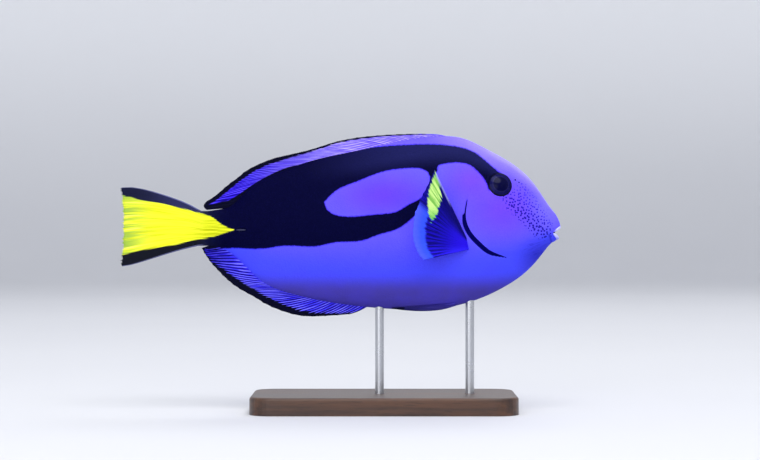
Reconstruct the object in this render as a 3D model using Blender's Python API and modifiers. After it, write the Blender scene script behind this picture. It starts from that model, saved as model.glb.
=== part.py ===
"""A regal blue tang, life-size, swimming level, held on a plain stand with two rods.

Metres, +Z up. The fish faces +X and its right flank faces -Y. The origin is on the floor,
under the middle of the fish. The body is one lofted form, parted into head, trunk and tail
stalk by thin cuts. The fins are thin sheets, with a ridge raised along each ray.
"""
import math

import bmesh
import bpy
import numpy as np
from mathutils import Matrix, Vector

# Clearance between neighbouring pieces
GAP = 0.0003
# How far the cutting blocks reach past the fish
REACH_Y = 0.0300
REACH_FRONT_X = 0.1100
REACH_REAR_X = -0.0800
REACH_LOW_Z = 0.0300
REACH_TOP_Z = 0.1350

# The body's outlines from the side, as (x, z), from the tail stalk to the snout
BACK_LINE = [
    (-0.0640, 0.0902), (-0.0560, 0.0914), (-0.0500, 0.0932), (-0.0415, 0.1012),
    (-0.0314, 0.1072), (-0.0127, 0.1139), (0.0091, 0.1187), (0.0273, 0.1228),
    (0.0455, 0.1249), (0.0560, 0.1238), (0.0677, 0.1184), (0.0800, 0.1111),
    (0.0897, 0.1012), (0.0974, 0.0903), (0.1010, 0.0874),
]
BELLY_LINE = [
    (-0.0640, 0.0757), (-0.0577, 0.0747), (-0.0500, 0.0719), (-0.0432, 0.0659),
    (-0.0360, 0.0592), (-0.0255, 0.0542), (-0.0036, 0.0492), (0.0236, 0.0463),
    (0.0445, 0.0464), (0.0563, 0.0487), (0.0677, 0.0528), (0.0765, 0.0574),
    (0.0852, 0.0638), (0.0914, 0.0707), (0.0970, 0.0768), (0.1010, 0.0766),
]
# Half the body's thickness, as (x, y)
HALF_WIDTH = [
    (-0.0640, 0.0017), (-0.0560, 0.0023), (-0.0450, 0.0036), (-0.0300, 0.0062),
    (-0.0050, 0.0099), (0.0180, 0.0124), (0.0400, 0.0135), (0.0580, 0.0134),
    (0.0720, 0.0119), (0.0830, 0.0092), (0.0920, 0.0059), (0.0970, 0.0042), (0.1010, 0.0036),
]
# How far up each section the body is widest, as a share of its height
WIDEST_SHARE = [(-0.0640, 0.50), (0.0000, 0.51), (0.0450, 0.54), (0.0750, 0.55), (0.1010, 0.50)]
BACK_POWER = 1.36
BELLY_POWER = 1.12
THINNEST_INSIDE = 0.3
STALK_END_X = -0.0625
SNOUT_ROUND_X = 0.0968
SNOUT_TIP_X = 0.1003
RING_SIDES = 40
BODY_STATIONS = 46
SNOUT_STATIONS = 6
# The step that slopes of the surface are taken over, and the distance that counts as touching
SLOPE_STEP = 0.0001
WELD_DISTANCE = 0.000001
# Sides and rings of round forms
EYE_SIDES = (20, 12)
NOSTRIL_SIDES = (10, 6)
SPINE_SIDES = (12, 8)
ROD_SIDES = 24

# Where the body is parted, as (z, x) for the gill opening's line from nape to throat
GILL_LINE = [
    (0.0560, 0.0930), (0.0640, 0.0852), (0.0680, 0.0790), (0.0702, 0.0744), (0.0723, 0.0691),
    (0.0750, 0.0652), (0.0800, 0.0602), (0.0893, 0.0567), (0.0955, 0.0575), (0.1060, 0.0572),
    (0.1290, 0.0510),
]
GILL_LINE_POINTS = 34
STALK_CUT_X = -0.0390

# Gill cover, a plate raised on the side of the head ahead of the opening
COVER_TOP_Z = 0.0965
COVER_BOTTOM_Z = 0.0708
COVER_THICKNESS = 0.0015
COVER_PROUD = 0.0005
COVER_REAR_ROOM = 0.0010
COVER_INNER_Y = 0.0040
COVER_POINTS = 13
# Its front edge, as (z, x)
COVER_FRONT = [
    (0.0702, 0.0765), (0.0760, 0.0724), (0.0830, 0.0685), (0.0900, 0.0652), (0.0972, 0.0592),
]

# Mouth: the wedge of the gape, the jaw's parting and the lips, as (x, z)
MOUTH_CORNER = (0.0964, 0.0810)
GAPE_TOP = (0.1030, 0.0836)
GAPE_BOTTOM = (0.1030, 0.0776)
JAW_REAR = (0.0925, 0.0690)
UPPER_LIP_FRONT = (0.0996, 0.0833)
UPPER_LIP_CORNER = (0.0966, 0.0821)
LOWER_LIP_FRONT = (0.0986, 0.0792)
LOWER_LIP_CORNER = (0.0966, 0.0800)
LIP_HALF_WIDTH = 0.0040
LIP_RADIUS = 0.0008
LIP_POINTS = 11

# Eyes and nostrils
EYE_X = 0.0723
EYE_Z = 0.1026
EYE_RADIUS = 0.0065
EYE_HALF_DEPTH = 0.0031
EYE_PROUD = 0.0014
NOSTRILS = [(0.0793, 0.1048, 0.00055), (0.0812, 0.1036, 0.00040)]
NOSTRIL_DEPTH = 0.0008

# Folding spine on each side of the tail stalk
SPINE_X = -0.0448
SPINE_Z = 0.0822
SPINE_LENGTH = 0.0046
SPINE_HEIGHT = 0.0012
SPINE_DEPTH = 0.0011

# Dorsal fin: nine spines and twenty soft rays, folded low; its free edge as (x, z)
DORSAL_FRONT_X = 0.0441
DORSAL_REAR_X = -0.0495
DORSAL_RAYS = 29
DORSAL_EDGE = [
    (0.0418, 0.1253), (0.0291, 0.1257), (0.0130, 0.1248), (-0.0010, 0.1226), (-0.0150, 0.1184),
    (-0.0302, 0.1148), (-0.0414, 0.1100), (-0.0483, 0.1050), (-0.0564, 0.0982), (-0.0612, 0.0956),
    (-0.0626, 0.0932), (-0.0614, 0.0917),
]
# Anal fin: three spines and nineteen soft rays
ANAL_FRONT_X = 0.0127
ANAL_REAR_X = -0.0572
ANAL_RAYS = 22
ANAL_EDGE = [
    (0.0113, 0.0449), (0.0041, 0.0439), (-0.0064, 0.0431), (-0.0182, 0.0432), (-0.0314, 0.0473),
    (-0.0430, 0.0537), (-0.0525, 0.0603), (-0.0570, 0.0651), (-0.0606, 0.0696), (-0.0629, 0.0739),
]
FIN_ROOT_THICKNESS = 0.0013
FIN_EDGE_THICKNESS = 0.0006
MEMBRANE_SHARE = 0.72
FIN_ROWS = 5
FIN_NOTCH_SHARE = 0.08

# Tail fin: top and bottom edges as (x, z)
CAUDAL_TOP = [(-0.0995, 0.1014), (-0.0959, 0.1016), (-0.0882, 0.1004), (-0.0764, 0.0968),
              (-0.0677, 0.0932), (-0.0628, 0.0904)]
CAUDAL_BOTTOM = [(-0.1002, 0.0657), (-0.0980, 0.0659), (-0.0893, 0.0681), (-0.0784, 0.0716),
                 (-0.0677, 0.0746), (-0.0628, 0.0757)]
CAUDAL_RAYS = 17
CAUDAL_ROWS = 8
CAUDAL_TIP_X = -0.1001
CAUDAL_HOLLOW = 0.0017
CAUDAL_ROOT_THICKNESS = 0.0032
CAUDAL_MID_THICKNESS = 0.0011
CAUDAL_EDGE_THICKNESS = 0.0006
CAUDAL_ROOT_SHARE = 0.22
CAUDAL_NOTCH_SHARE = 0.015

# Pectoral fins, raised fans: root line, and ray lengths as (angle above +X, length)
PECTORAL_ROOT_TOP = (0.0569, 0.0786)
PECTORAL_ROOT_BOTTOM = (0.0582, 0.0730)
PECTORAL_LENGTHS = [(114.6, 0.0359), (125.0, 0.0318), (144.1, 0.0280), (165.5, 0.0255),
                    (184.5, 0.0235), (200.0, 0.0212)]
PECTORAL_RAYS = 16
PECTORAL_ROWS = 6
PECTORAL_FLARE = math.radians(21.0)
PECTORAL_BOW = 0.0012
PECTORAL_ROOT_THICKNESS = 0.0013
PECTORAL_EDGE_THICKNESS = 0.0006
PECTORAL_NOTCH_SHARE = 0.02

# Pelvic fins, folded along the belly: one spine and three rays each
PELVIC_ROOT_X = 0.0523
PELVIC_TIP_X = 0.0236
PELVIC_ANGLE = math.radians(13.0)
PELVIC_HALF_SPANS = [(0.0, 2.0), (0.3, 5.6), (0.7, 4.2), (1.0, 0.5)]
PELVIC_RAYS = 4
PELVIC_ROWS = 8
PELVIC_ROOT_THICKNESS = 0.0012
PELVIC_EDGE_THICKNESS = 0.0007

# Stand
BASE_LENGTH = 0.120
BASE_WIDTH = 0.060
BASE_HEIGHT = 0.008
BASE_CENTRE_X = 0.020
BASE_CORNER = 0.010
BASE_CORNER_STEPS = 8
BASE_EDGE = 0.0012
BASE_EDGE_STEPS = 3
ROD_RADIUS = 0.0020
ROD_FRONT_X = 0.0590
ROD_REAR_X = 0.0180
ROD_IN_BASE = 0.0040
ROD_IN_BODY = 0.0060

# Edges sharper than this stay crisp in the shading
SHARP_ANGLE = math.radians(35.0)

# Finishes: colour, roughness, metallic
FINISHES = {
    "skin_blue": ((0.10, 0.08, 0.90), 0.35, 0.0),
    "skin_black": ((0.004, 0.004, 0.03), 0.35, 0.0),
    "fin_blue": ((0.05, 0.04, 0.70), 0.40, 0.0),
    "fin_yellow": ((0.92, 0.95, 0.04), 0.40, 0.0),
    "lip_pale": ((0.55, 0.55, 0.85), 0.35, 0.0),
    "eye_dark": ((0.005, 0.005, 0.02), 0.05, 0.0),
    "spine_bone": ((0.45, 0.45, 0.30), 0.40, 0.0),
    "base_wood": ((0.030, 0.018, 0.012), 0.45, 0.0),
    "rod_steel": ((0.60, 0.61, 0.62), 0.28, 1.0),
}


def clear_scene():
    for item in list(bpy.data.objects):
        bpy.data.objects.remove(item, do_unlink=True)


def make_collection(name):
    group = bpy.data.collections.new(name)
    bpy.context.scene.collection.children.link(group)
    return group


def make_finish(name):
    colour, roughness, metallic = FINISHES[name]
    finish = bpy.data.materials.new(name)
    finish.use_nodes = True
    shader = finish.node_tree.nodes["Principled BSDF"]
    shader.inputs["Base Color"].default_value = (*colour, 1.0)
    shader.inputs["Roughness"].default_value = roughness
    shader.inputs["Metallic"].default_value = metallic
    return finish


clear_scene()
PARTS = make_collection("regal_blue_tang")
CUTTERS = make_collection("cutters")
MATERIALS = {name: make_finish(name) for name in FINISHES}


# Smooth curves

def spline_through(points):
    """A natural cubic spline through a few (x, value) points, as a function of x."""
    ordered = sorted(points)
    xs = np.array([p[0] for p in ordered])
    values = np.array([p[1] for p in ordered])
    count = len(xs)
    steps = np.diff(xs)
    slopes = np.diff(values) / steps
    system = np.eye(count)
    right_side = np.zeros(count)
    for i in range(1, count - 1):
        system[i, i - 1:i + 2] = [steps[i - 1], 2 * (steps[i - 1] + steps[i]), steps[i]]
        right_side[i] = 6 * (slopes[i] - slopes[i - 1])
    bends = np.linalg.solve(system, right_side)

    def value_at(x):
        x = min(max(x, xs[0]), xs[-1])
        i = int(min(max(np.searchsorted(xs, x) - 1, 0), count - 2))
        before = (x - xs[i]) / steps[i]
        after = 1 - before
        curve = (after ** 3 - after) * bends[i] + (before ** 3 - before) * bends[i + 1]
        return float(after * values[i] + before * values[i + 1] + curve * steps[i] ** 2 / 6)

    return value_at


def path_through(points):
    """A smooth path through (x, z) points, as a function of a share 0 to 1 of its length."""
    flat = np.array(points)
    lengths = np.concatenate([[0], np.cumsum(np.linalg.norm(np.diff(flat, axis=0), axis=1))])
    shares = lengths / lengths[-1]
    along_x = spline_through(list(zip(shares, flat[:, 0])))
    along_z = spline_through(list(zip(shares, flat[:, 1])))
    return lambda share: (along_x(share), along_z(share))


def shifted_line(points, distance):
    """The (x, z) points moved sideways, to the left of the way that they run."""
    line = np.array(points)
    ahead = np.gradient(line, axis=0)
    ahead /= np.linalg.norm(ahead, axis=1)[:, None]
    left = np.stack([-ahead[:, 1], ahead[:, 0]], axis=1)
    return [tuple(p) for p in line + left * np.reshape(distance, (-1, 1))]


def blend(low, high, share):
    return low + (high - low) * share


# The body's surface

back_z = spline_through(BACK_LINE)
belly_z = spline_through(BELLY_LINE)
half_width = spline_through(HALF_WIDTH)
widest_share = spline_through(WIDEST_SHARE)


def section(x):
    """Half width, widest height, and the reach above and below it, of the body at x."""
    top, bottom = back_z(x), belly_z(x)
    middle, half = (top + bottom) / 2, (top - bottom) / 2
    rounding = 1.0
    if x > SNOUT_ROUND_X:
        share = (x - SNOUT_ROUND_X) / (SNOUT_TIP_X - SNOUT_ROUND_X)
        rounding = math.sqrt(max(1 - share * share, 0.0))
    half *= rounding
    bottom = middle - half
    widest = bottom + 2 * half * widest_share(x)
    return half_width(x) * rounding, widest, middle + half - widest, widest - bottom


def surface(x, angle, proud=0.0):
    """A point of the body: angle 0 is the back, a right angle the left flank, pi the belly."""
    width, widest, above, below = section(x)
    width = max(width + proud, width * THINNEST_INSIDE)
    power, reach = (BACK_POWER, above) if math.cos(angle) > 0 else (BELLY_POWER, below)
    out = math.copysign(abs(math.sin(angle)) ** power, math.sin(angle))
    return Vector((x, width * out, widest + reach * math.cos(angle)))


def surface_normal(x, angle, side):
    along = surface(x + SLOPE_STEP, angle) - surface(x - SLOPE_STEP, angle)
    around = surface(x, angle + SLOPE_STEP) - surface(x, angle - SLOPE_STEP)
    normal = along.cross(around).normalized()
    return normal if normal.y * side > 0 else -normal


def flank_angle(x, z, side):
    """The angle of the flank's point at x and height z, on the side +1 (left) or -1 (right)."""
    _, widest, above, below = section(x)
    reach = above if z > widest else below
    return side * math.acos(max(-1.0, min(1.0, (z - widest) / reach)))


def flank(x, z, side):
    angle = flank_angle(x, z, side)
    return surface(x, angle), surface_normal(x, angle, side)


# Mesh helpers

def add_object(name, mesh, finish, group=PARTS):
    item = bpy.data.objects.new(name, mesh)
    if finish:
        mesh.materials.append(MATERIALS[finish])
    group.objects.link(item)
    if group is CUTTERS:
        item.hide_render = True
        item.display_type = "WIRE"
    return item


def finish_bmesh(name, work, finish, group=PARTS):
    bmesh.ops.recalc_face_normals(work, faces=work.faces)
    mesh = bpy.data.meshes.new(name)
    work.to_mesh(mesh)
    work.free()
    return add_object(name, mesh, finish, group)


def body_loft(name, finish, group=PARTS, proud=0.0):
    """The whole body as one closed loft, from the end of the tail stalk to the snout."""
    stations = list(np.linspace(STALK_END_X, SNOUT_ROUND_X, BODY_STATIONS))
    for i in range(1, SNOUT_STATIONS):
        turn = math.sin(math.pi / 2 * i / SNOUT_STATIONS)
        stations.append(blend(SNOUT_ROUND_X, SNOUT_TIP_X, turn))
    work = bmesh.new()
    rings = []
    for x in stations:
        angles = [2 * math.pi * i / RING_SIDES for i in range(RING_SIDES)]
        rings.append([work.verts.new(surface(x, angle, proud)) for angle in angles])
    for near, far in zip(rings, rings[1:]):
        for i in range(RING_SIDES):
            j = (i + 1) % RING_SIDES
            work.faces.new((near[i], near[j], far[j], far[i]))
    work.faces.new(rings[0])
    tip = work.verts.new(surface(SNOUT_TIP_X, 0.0))
    for i in range(RING_SIDES):
        work.faces.new((rings[-1][i], rings[-1][(i + 1) % RING_SIDES], tip))
    return finish_bmesh(name, work, finish, group)


def prism(name, outline, y_low=-REACH_Y, y_high=REACH_Y):
    """A closed block: an (x, z) outline carried from one y to another."""
    work = bmesh.new()
    face = work.faces.new([work.verts.new((x, y_low, z)) for x, z in outline])
    grown = bmesh.ops.extrude_face_region(work, geom=[face])
    moved = [item for item in grown["geom"] if isinstance(item, bmesh.types.BMVert)]
    bmesh.ops.translate(work, verts=moved, vec=(0, y_high - y_low, 0))
    return finish_bmesh(name, work, None, CUTTERS)


def ellipsoid(name, centre, radii, turn, finish, group, sides=EYE_SIDES):
    work = bmesh.new()
    place = Matrix.Translation(centre) @ turn.to_matrix().to_4x4() @ Matrix.Diagonal((*radii, 1.0))
    bmesh.ops.create_uvsphere(work, u_segments=sides[0], v_segments=sides[1], radius=1.0,
                              matrix=place)
    return finish_bmesh(name, work, finish, group)


def cylinder(name, x, z_low, z_high, radius, finish, group):
    work = bmesh.new()
    half_side = Matrix.Rotation(math.pi / ROD_SIDES, 4, "Z")
    place = Matrix.Translation((x, 0, (z_low + z_high) / 2)) @ half_side
    bmesh.ops.create_cone(work, cap_ends=True, segments=ROD_SIDES, radius1=radius,
                          radius2=radius, depth=z_high - z_low, matrix=place)
    return finish_bmesh(name, work, finish, group)


def tube(name, points, radius, finish, group):
    """A round tube with closed ends along a path, made from a bevelled curve."""
    curve = bpy.data.curves.new(name, "CURVE")
    curve.dimensions = "3D"
    curve.bevel_depth = radius
    curve.bevel_resolution = 2
    curve.use_fill_caps = True
    spline = curve.splines.new("POLY")
    spline.points.add(len(points) - 1)
    for knot, place in zip(spline.points, points):
        knot.co = (*place, 1.0)
    source = bpy.data.objects.new(name, curve)
    group.objects.link(source)
    mesh = evaluated_mesh(source)
    bpy.data.objects.remove(source)
    work = bmesh.new()
    work.from_mesh(mesh)
    bmesh.ops.remove_doubles(work, verts=work.verts, dist=WELD_DISTANCE)
    return finish_bmesh(name, work, finish, group)


def evaluated_mesh(item):
    bpy.context.view_layer.update()
    graph = bpy.context.evaluated_depsgraph_get()
    return bpy.data.meshes.new_from_object(item.evaluated_get(graph))


def apply_modifiers(item):
    mesh = evaluated_mesh(item)
    item.modifiers.clear()
    item.data = mesh


def carve(item, operation, cutters):
    """Joins or cuts an object with closed meshes, which are then removed."""
    for cutter in cutters:
        change = item.modifiers.new(cutter.name, "BOOLEAN")
        change.operation = operation
        change.solver = "EXACT"
        change.object = cutter
    apply_modifiers(item)
    for cutter in cutters:
        bpy.data.objects.remove(cutter, do_unlink=True)


def keep_largest(item):
    """Leaves only the object's largest closed surface."""
    work = bmesh.new()
    work.from_mesh(item.data)
    left = set(work.verts)
    shells = []
    while left:
        shell = {left.pop()}
        front = list(shell)
        while front:
            vert = front.pop()
            near = {edge.other_vert(vert) for edge in vert.link_edges} & left
            shell |= near
            front += near
            left -= near
        shells.append(shell)
    shells.sort(key=len)
    for shell in shells[:-1]:
        bmesh.ops.delete(work, geom=list(shell), context="VERTS")
    work.to_mesh(item.data)
    work.free()


# Fins

def ray_sheet(name, finish, rays, rows, place, thickness, notch):
    """A thin fin: a sheet of rays and membrane, given its thickness row by row.

    place(across, along) gives a point, and thickness(along) the sheet's thickness on a ray.
    The membrane between two rays is thinner, and its edge stops short of theirs by notch.
    """
    columns = 2 * rays - 1
    work = bmesh.new()
    grid = []
    weights = []
    for i in range(columns):
        on_ray = i % 2 == 0
        across = i / (columns - 1)
        end = 1.0 if on_ray else 1.0 - notch
        line = []
        for j in range(rows + 1):
            along = end * j / rows
            line.append(work.verts.new(place(across, along)))
            weights.append(thickness(along) * (1.0 if on_ray else MEMBRANE_SHARE))
        grid.append(line)
    for i in range(columns - 1):
        for j in range(rows):
            low, high = grid[i], grid[i + 1]
            if i % 2 == 0:
                work.faces.new((low[j], high[j], high[j + 1]))
                work.faces.new((low[j], high[j + 1], low[j + 1]))
            else:
                work.faces.new((low[j], high[j], low[j + 1]))
                work.faces.new((high[j], high[j + 1], low[j + 1]))
    sheet = finish_bmesh(name, work, finish)
    thickest = max(weights)
    group = sheet.vertex_groups.new(name="thickness")
    for index, weight in enumerate(weights):
        group.add([index], weight / thickest, "REPLACE")
    shell = sheet.modifiers.new("thickness", "SOLIDIFY")
    shell.thickness = thickest
    shell.offset = 0.0
    shell.vertex_group = "thickness"
    shell.thickness_vertex_group = 0.0
    return sheet


def upright_fin(name, front_x, rear_x, root_z, edge, rays):
    """A fin in the middle plane, on the back or under the belly."""
    edge_at = path_through(edge)

    def place(across, along):
        root_x = blend(front_x, rear_x, across)
        edge_x, edge_z = edge_at(across)
        return (blend(root_x, edge_x, along), 0.0, blend(root_z(root_x), edge_z, along))

    def thickness(along):
        return blend(FIN_ROOT_THICKNESS, FIN_EDGE_THICKNESS, along)

    return ray_sheet(name, "fin_blue", rays, FIN_ROWS, place, thickness, FIN_NOTCH_SHARE)


def make_caudal():
    top_z = spline_through(CAUDAL_TOP)
    bottom_z = spline_through(CAUDAL_BOTTOM)
    root_x = STALK_END_X - GAP

    def place(across, along):
        off_middle = 2 * across - 1
        tip_x = CAUDAL_TIP_X + CAUDAL_HOLLOW * (1 - off_middle ** 2)
        x = blend(root_x, tip_x, along)
        return (x, 0.0, blend(bottom_z(x), top_z(x), across))

    def thickness(along):
        if along < CAUDAL_ROOT_SHARE:
            share = (along / CAUDAL_ROOT_SHARE - 1) ** 2
            return blend(CAUDAL_MID_THICKNESS, CAUDAL_ROOT_THICKNESS, share)
        share = (along - CAUDAL_ROOT_SHARE) / (1 - CAUDAL_ROOT_SHARE)
        return blend(CAUDAL_MID_THICKNESS, CAUDAL_EDGE_THICKNESS, share)

    return ray_sheet("caudal_fin", "fin_yellow", CAUDAL_RAYS, CAUDAL_ROWS, place, thickness,
                     CAUDAL_NOTCH_SHARE)


def make_pectoral(name, side):
    length_at = spline_through(PECTORAL_LENGTHS)
    first, last = PECTORAL_LENGTHS[0][0], PECTORAL_LENGTHS[-1][0]
    root_mid_x = (PECTORAL_ROOT_TOP[0] + PECTORAL_ROOT_BOTTOM[0]) / 2
    root_mid_z = (PECTORAL_ROOT_TOP[1] + PECTORAL_ROOT_BOTTOM[1]) / 2
    stand_off = GAP + PECTORAL_ROOT_THICKNESS / 2

    def place(across, along):
        root_x = blend(PECTORAL_ROOT_TOP[0], PECTORAL_ROOT_BOTTOM[0], across)
        root_z = blend(PECTORAL_ROOT_TOP[1], PECTORAL_ROOT_BOTTOM[1], across)
        root, normal = flank(root_x, root_z, side)
        root += normal * stand_off
        angle = blend(first, last, across)
        length = length_at(angle)
        tip_x = root_mid_x + length * math.cos(math.radians(angle))
        tip_z = root_mid_z + length * math.sin(math.radians(angle))
        tip = Vector((tip_x, root.y + side * length * math.tan(PECTORAL_FLARE), tip_z))
        point = root.lerp(tip, along)
        point.y += side * PECTORAL_BOW * math.sin(math.pi * along)
        return point

    def thickness(along):
        return blend(PECTORAL_ROOT_THICKNESS, PECTORAL_EDGE_THICKNESS, along)

    return ray_sheet(name, "fin_blue", PECTORAL_RAYS, PECTORAL_ROWS, place, thickness,
                     PECTORAL_NOTCH_SHARE)


def make_pelvic(name, side):
    half_span = spline_through(PELVIC_HALF_SPANS)
    stand_off = GAP + PELVIC_ROOT_THICKNESS / 2

    def place(across, along):
        x = blend(PELVIC_ROOT_X, PELVIC_TIP_X, along)
        off_belly = PELVIC_ANGLE + (2 * across - 1) * math.radians(half_span(along))
        angle = side * (math.pi - off_belly)
        return surface(x, angle) + surface_normal(x, angle, side) * stand_off

    def thickness(along):
        return blend(PELVIC_ROOT_THICKNESS, PELVIC_EDGE_THICKNESS, along)

    return ray_sheet(name, "fin_blue", PELVIC_RAYS, PELVIC_ROWS, place, thickness, 0.0)


# Pieces of the body

def gill_line_points():
    """The gill opening's line as (x, z), from the throat up to the nape."""
    x_at = spline_through(GILL_LINE)
    heights = np.linspace(GILL_LINE[0][0], GILL_LINE[-1][0], GILL_LINE_POINTS)
    return [(x_at(z), float(z)) for z in heights]


def cover_outline(grown):
    """The gill cover's outline: up its rear edge at the opening, then down its front edge."""
    margin = GAP if grown else 0.0
    heights = np.linspace(COVER_BOTTOM_Z - 2 * margin, COVER_TOP_Z + 2 * margin, COVER_POINTS)
    rear_at, front_at = spline_through(GILL_LINE), spline_through(COVER_FRONT)
    rear = [(rear_at(z), float(z)) for z in heights]
    front = [(front_at(z), float(z)) for z in heights]
    rear = shifted_line(rear, COVER_REAR_ROOM if grown else -GAP / 2)
    return rear + shifted_line(front, -margin)[::-1]


def make_gill_cover(name, side):
    y_low, y_high = sorted((side * COVER_INNER_Y, side * REACH_Y))
    cover = body_loft(name, "skin_blue", proud=COVER_PROUD)
    carve(cover, "INTERSECT", [prism("cover_outline", cover_outline(False), y_low, y_high)])
    carve(cover, "DIFFERENCE", [body_loft("cover_inside", None, CUTTERS, -COVER_THICKNESS)])
    keep_largest(cover)
    return cover


def make_cover_recess(side):
    y_low, y_high = sorted((side * COVER_INNER_Y, side * REACH_Y))
    recess = prism("recess", cover_outline(True), y_low, y_high)
    depth = COVER_THICKNESS + GAP
    carve(recess, "DIFFERENCE", [body_loft("recess_floor", None, CUTTERS, -depth)])
    return recess


def eye_place(side):
    point, normal = flank(EYE_X, EYE_Z, side)
    centre = point - normal * (EYE_HALF_DEPTH - EYE_PROUD)
    return centre, normal.to_track_quat("Z", "Y")


def make_eye(name, side):
    centre, turn = eye_place(side)
    radii = (EYE_RADIUS, EYE_RADIUS, EYE_HALF_DEPTH)
    ellipsoid(name, centre, radii, turn, "eye_dark", PARTS)


def make_head_pits(side):
    """The eye socket and the nostrils of one side."""
    centre, turn = eye_place(side)
    radii = (EYE_RADIUS + GAP, EYE_RADIUS + GAP, EYE_HALF_DEPTH + GAP)
    pits = [ellipsoid("socket", centre, radii, turn, None, CUTTERS)]
    for x, z, radius in NOSTRILS:
        point, normal = flank(x, z, side)
        size = (radius, radius, NOSTRIL_DEPTH)
        face = normal.to_track_quat("Z", "Y")
        pits.append(ellipsoid("nostril", point, size, face, None, CUTTERS, NOSTRIL_SIDES))
    return pits


def lip_path(front, corner):
    """A lip's path round the snout, from the right corner of the mouth to the left one."""
    points = []
    for i in range(LIP_POINTS):
        turn = math.pi * (i / (LIP_POINTS - 1) - 0.5)
        share = math.cos(turn)
        points.append((blend(corner[0], front[0], share), LIP_HALF_WIDTH * math.sin(turn),
                       blend(corner[1], front[1], share)))
    return points


def jaw_outline(grown):
    """The lower jaw's outline: ahead of its parting and under the gape."""
    corner_x, corner_z = MOUTH_CORNER
    rear_x, rear_z = JAW_REAR
    if grown:
        return [(corner_x - GAP, corner_z), GAPE_TOP, (REACH_FRONT_X, rear_z), (rear_x - GAP, rear_z)]
    return [(corner_x, corner_z - GAP / 2), GAPE_BOTTOM, (REACH_FRONT_X, rear_z), (rear_x, rear_z)]


def make_body():
    """Head, lower jaw, trunk and tail stalk, parted out of one body."""
    line = gill_line_points()
    ahead = shifted_line(line, -GAP / 2)
    behind = shifted_line(line, GAP / 2)
    low, high = line[0][1], line[-1][1]

    head = body_loft("head", "skin_blue")
    block = ahead + [(REACH_FRONT_X, high), (REACH_FRONT_X, low)]
    carve(head, "INTERSECT", [prism("ahead", block)])
    carve(head, "DIFFERENCE", [prism("gape", jaw_outline(True))])
    upper = lip_path(UPPER_LIP_FRONT, UPPER_LIP_CORNER)
    lower = lip_path(LOWER_LIP_FRONT, LOWER_LIP_CORNER)
    carve(head, "UNION", [tube("upper_lip", upper, LIP_RADIUS, "lip_pale", CUTTERS)])
    carve(head, "DIFFERENCE", [tube("lip_room", lower, LIP_RADIUS + GAP, None, CUTTERS)])
    for side in (-1, 1):
        carve(head, "DIFFERENCE", make_head_pits(side))
        carve(head, "DIFFERENCE", [make_cover_recess(side)])
    keep_largest(head)

    jaw = body_loft("lower_jaw", "skin_blue")
    carve(jaw, "INTERSECT", [prism("jaw_block", jaw_outline(False))])
    carve(jaw, "UNION", [tube("lower_lip", lower, LIP_RADIUS, "lip_pale", CUTTERS)])
    keep_largest(jaw)

    trunk = body_loft("trunk", "skin_blue")
    rear = STALK_CUT_X + GAP / 2
    block = behind + [(rear, high), (rear, REACH_LOW_Z), (behind[0][0], REACH_LOW_Z)]
    carve(trunk, "INTERSECT", [prism("behind", block)])
    for x in (ROD_FRONT_X, ROD_REAR_X):
        top = rod_top_z(x) + GAP
        hole = cylinder("rod_hole", x, REACH_LOW_Z, top, ROD_RADIUS + GAP, None, CUTTERS)
        carve(trunk, "DIFFERENCE", [hole])
    keep_largest(trunk)

    stalk = body_loft("peduncle", "skin_black")
    rear = STALK_CUT_X - GAP / 2
    block = [(REACH_REAR_X, REACH_LOW_Z), (rear, REACH_LOW_Z), (rear, REACH_TOP_Z),
             (REACH_REAR_X, REACH_TOP_Z)]
    carve(stalk, "INTERSECT", [prism("stalk_block", block)])
    for side in (-1, 1):
        point, normal = flank(SPINE_X, SPINE_Z, side)
        size = (SPINE_LENGTH / 2 + GAP, SPINE_DEPTH / 2 + GAP, SPINE_HEIGHT / 2 + GAP)
        turn = normal.to_track_quat("Y", "Z")
        groove = ellipsoid("groove", point, size, turn, None, CUTTERS, SPINE_SIDES)
        carve(stalk, "DIFFERENCE", [groove])
    keep_largest(stalk)


def make_tail_spine(name, side):
    """A flat spine that lies folded in its groove, half sunk."""
    point, normal = flank(SPINE_X, SPINE_Z, side)
    turn = normal.to_track_quat("Y", "Z")
    size = (SPINE_LENGTH / 2, SPINE_DEPTH / 2, SPINE_HEIGHT / 2)
    ellipsoid(name, point, size, turn, "spine_bone", PARTS, SPINE_SIDES)


# Stand

def rod_top_z(x):
    return belly_z(x) + ROD_IN_BODY


def make_stand():
    work = bmesh.new()
    size = Matrix.Diagonal((BASE_LENGTH, BASE_WIDTH, BASE_HEIGHT, 1.0))
    place = Matrix.Translation((BASE_CENTRE_X, 0, BASE_HEIGHT / 2))
    bmesh.ops.create_cube(work, size=1.0, matrix=place @ size)
    upright = [edge for edge in work.edges if edge.verts[0].co.xy == edge.verts[1].co.xy]
    bmesh.ops.bevel(work, geom=upright, offset=BASE_CORNER, segments=BASE_CORNER_STEPS,
                    profile=0.5, affect="EDGES")
    lid = max(work.faces, key=lambda face: face.calc_center_median().z)
    bmesh.ops.bevel(work, geom=list(lid.edges), offset=BASE_EDGE, segments=BASE_EDGE_STEPS,
                    profile=0.5, affect="EDGES")
    base = finish_bmesh("stand_base", work, "base_wood")
    floor = BASE_HEIGHT - ROD_IN_BASE
    for name, x in (("stand_rod_front", ROD_FRONT_X), ("stand_rod_rear", ROD_REAR_X)):
        hole = cylinder("base_hole", x, floor, REACH_LOW_Z, ROD_RADIUS + GAP, None, CUTTERS)
        carve(base, "DIFFERENCE", [hole])
        cylinder(name, x, floor + GAP, rod_top_z(x), ROD_RADIUS, "rod_steel", PARTS)


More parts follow.
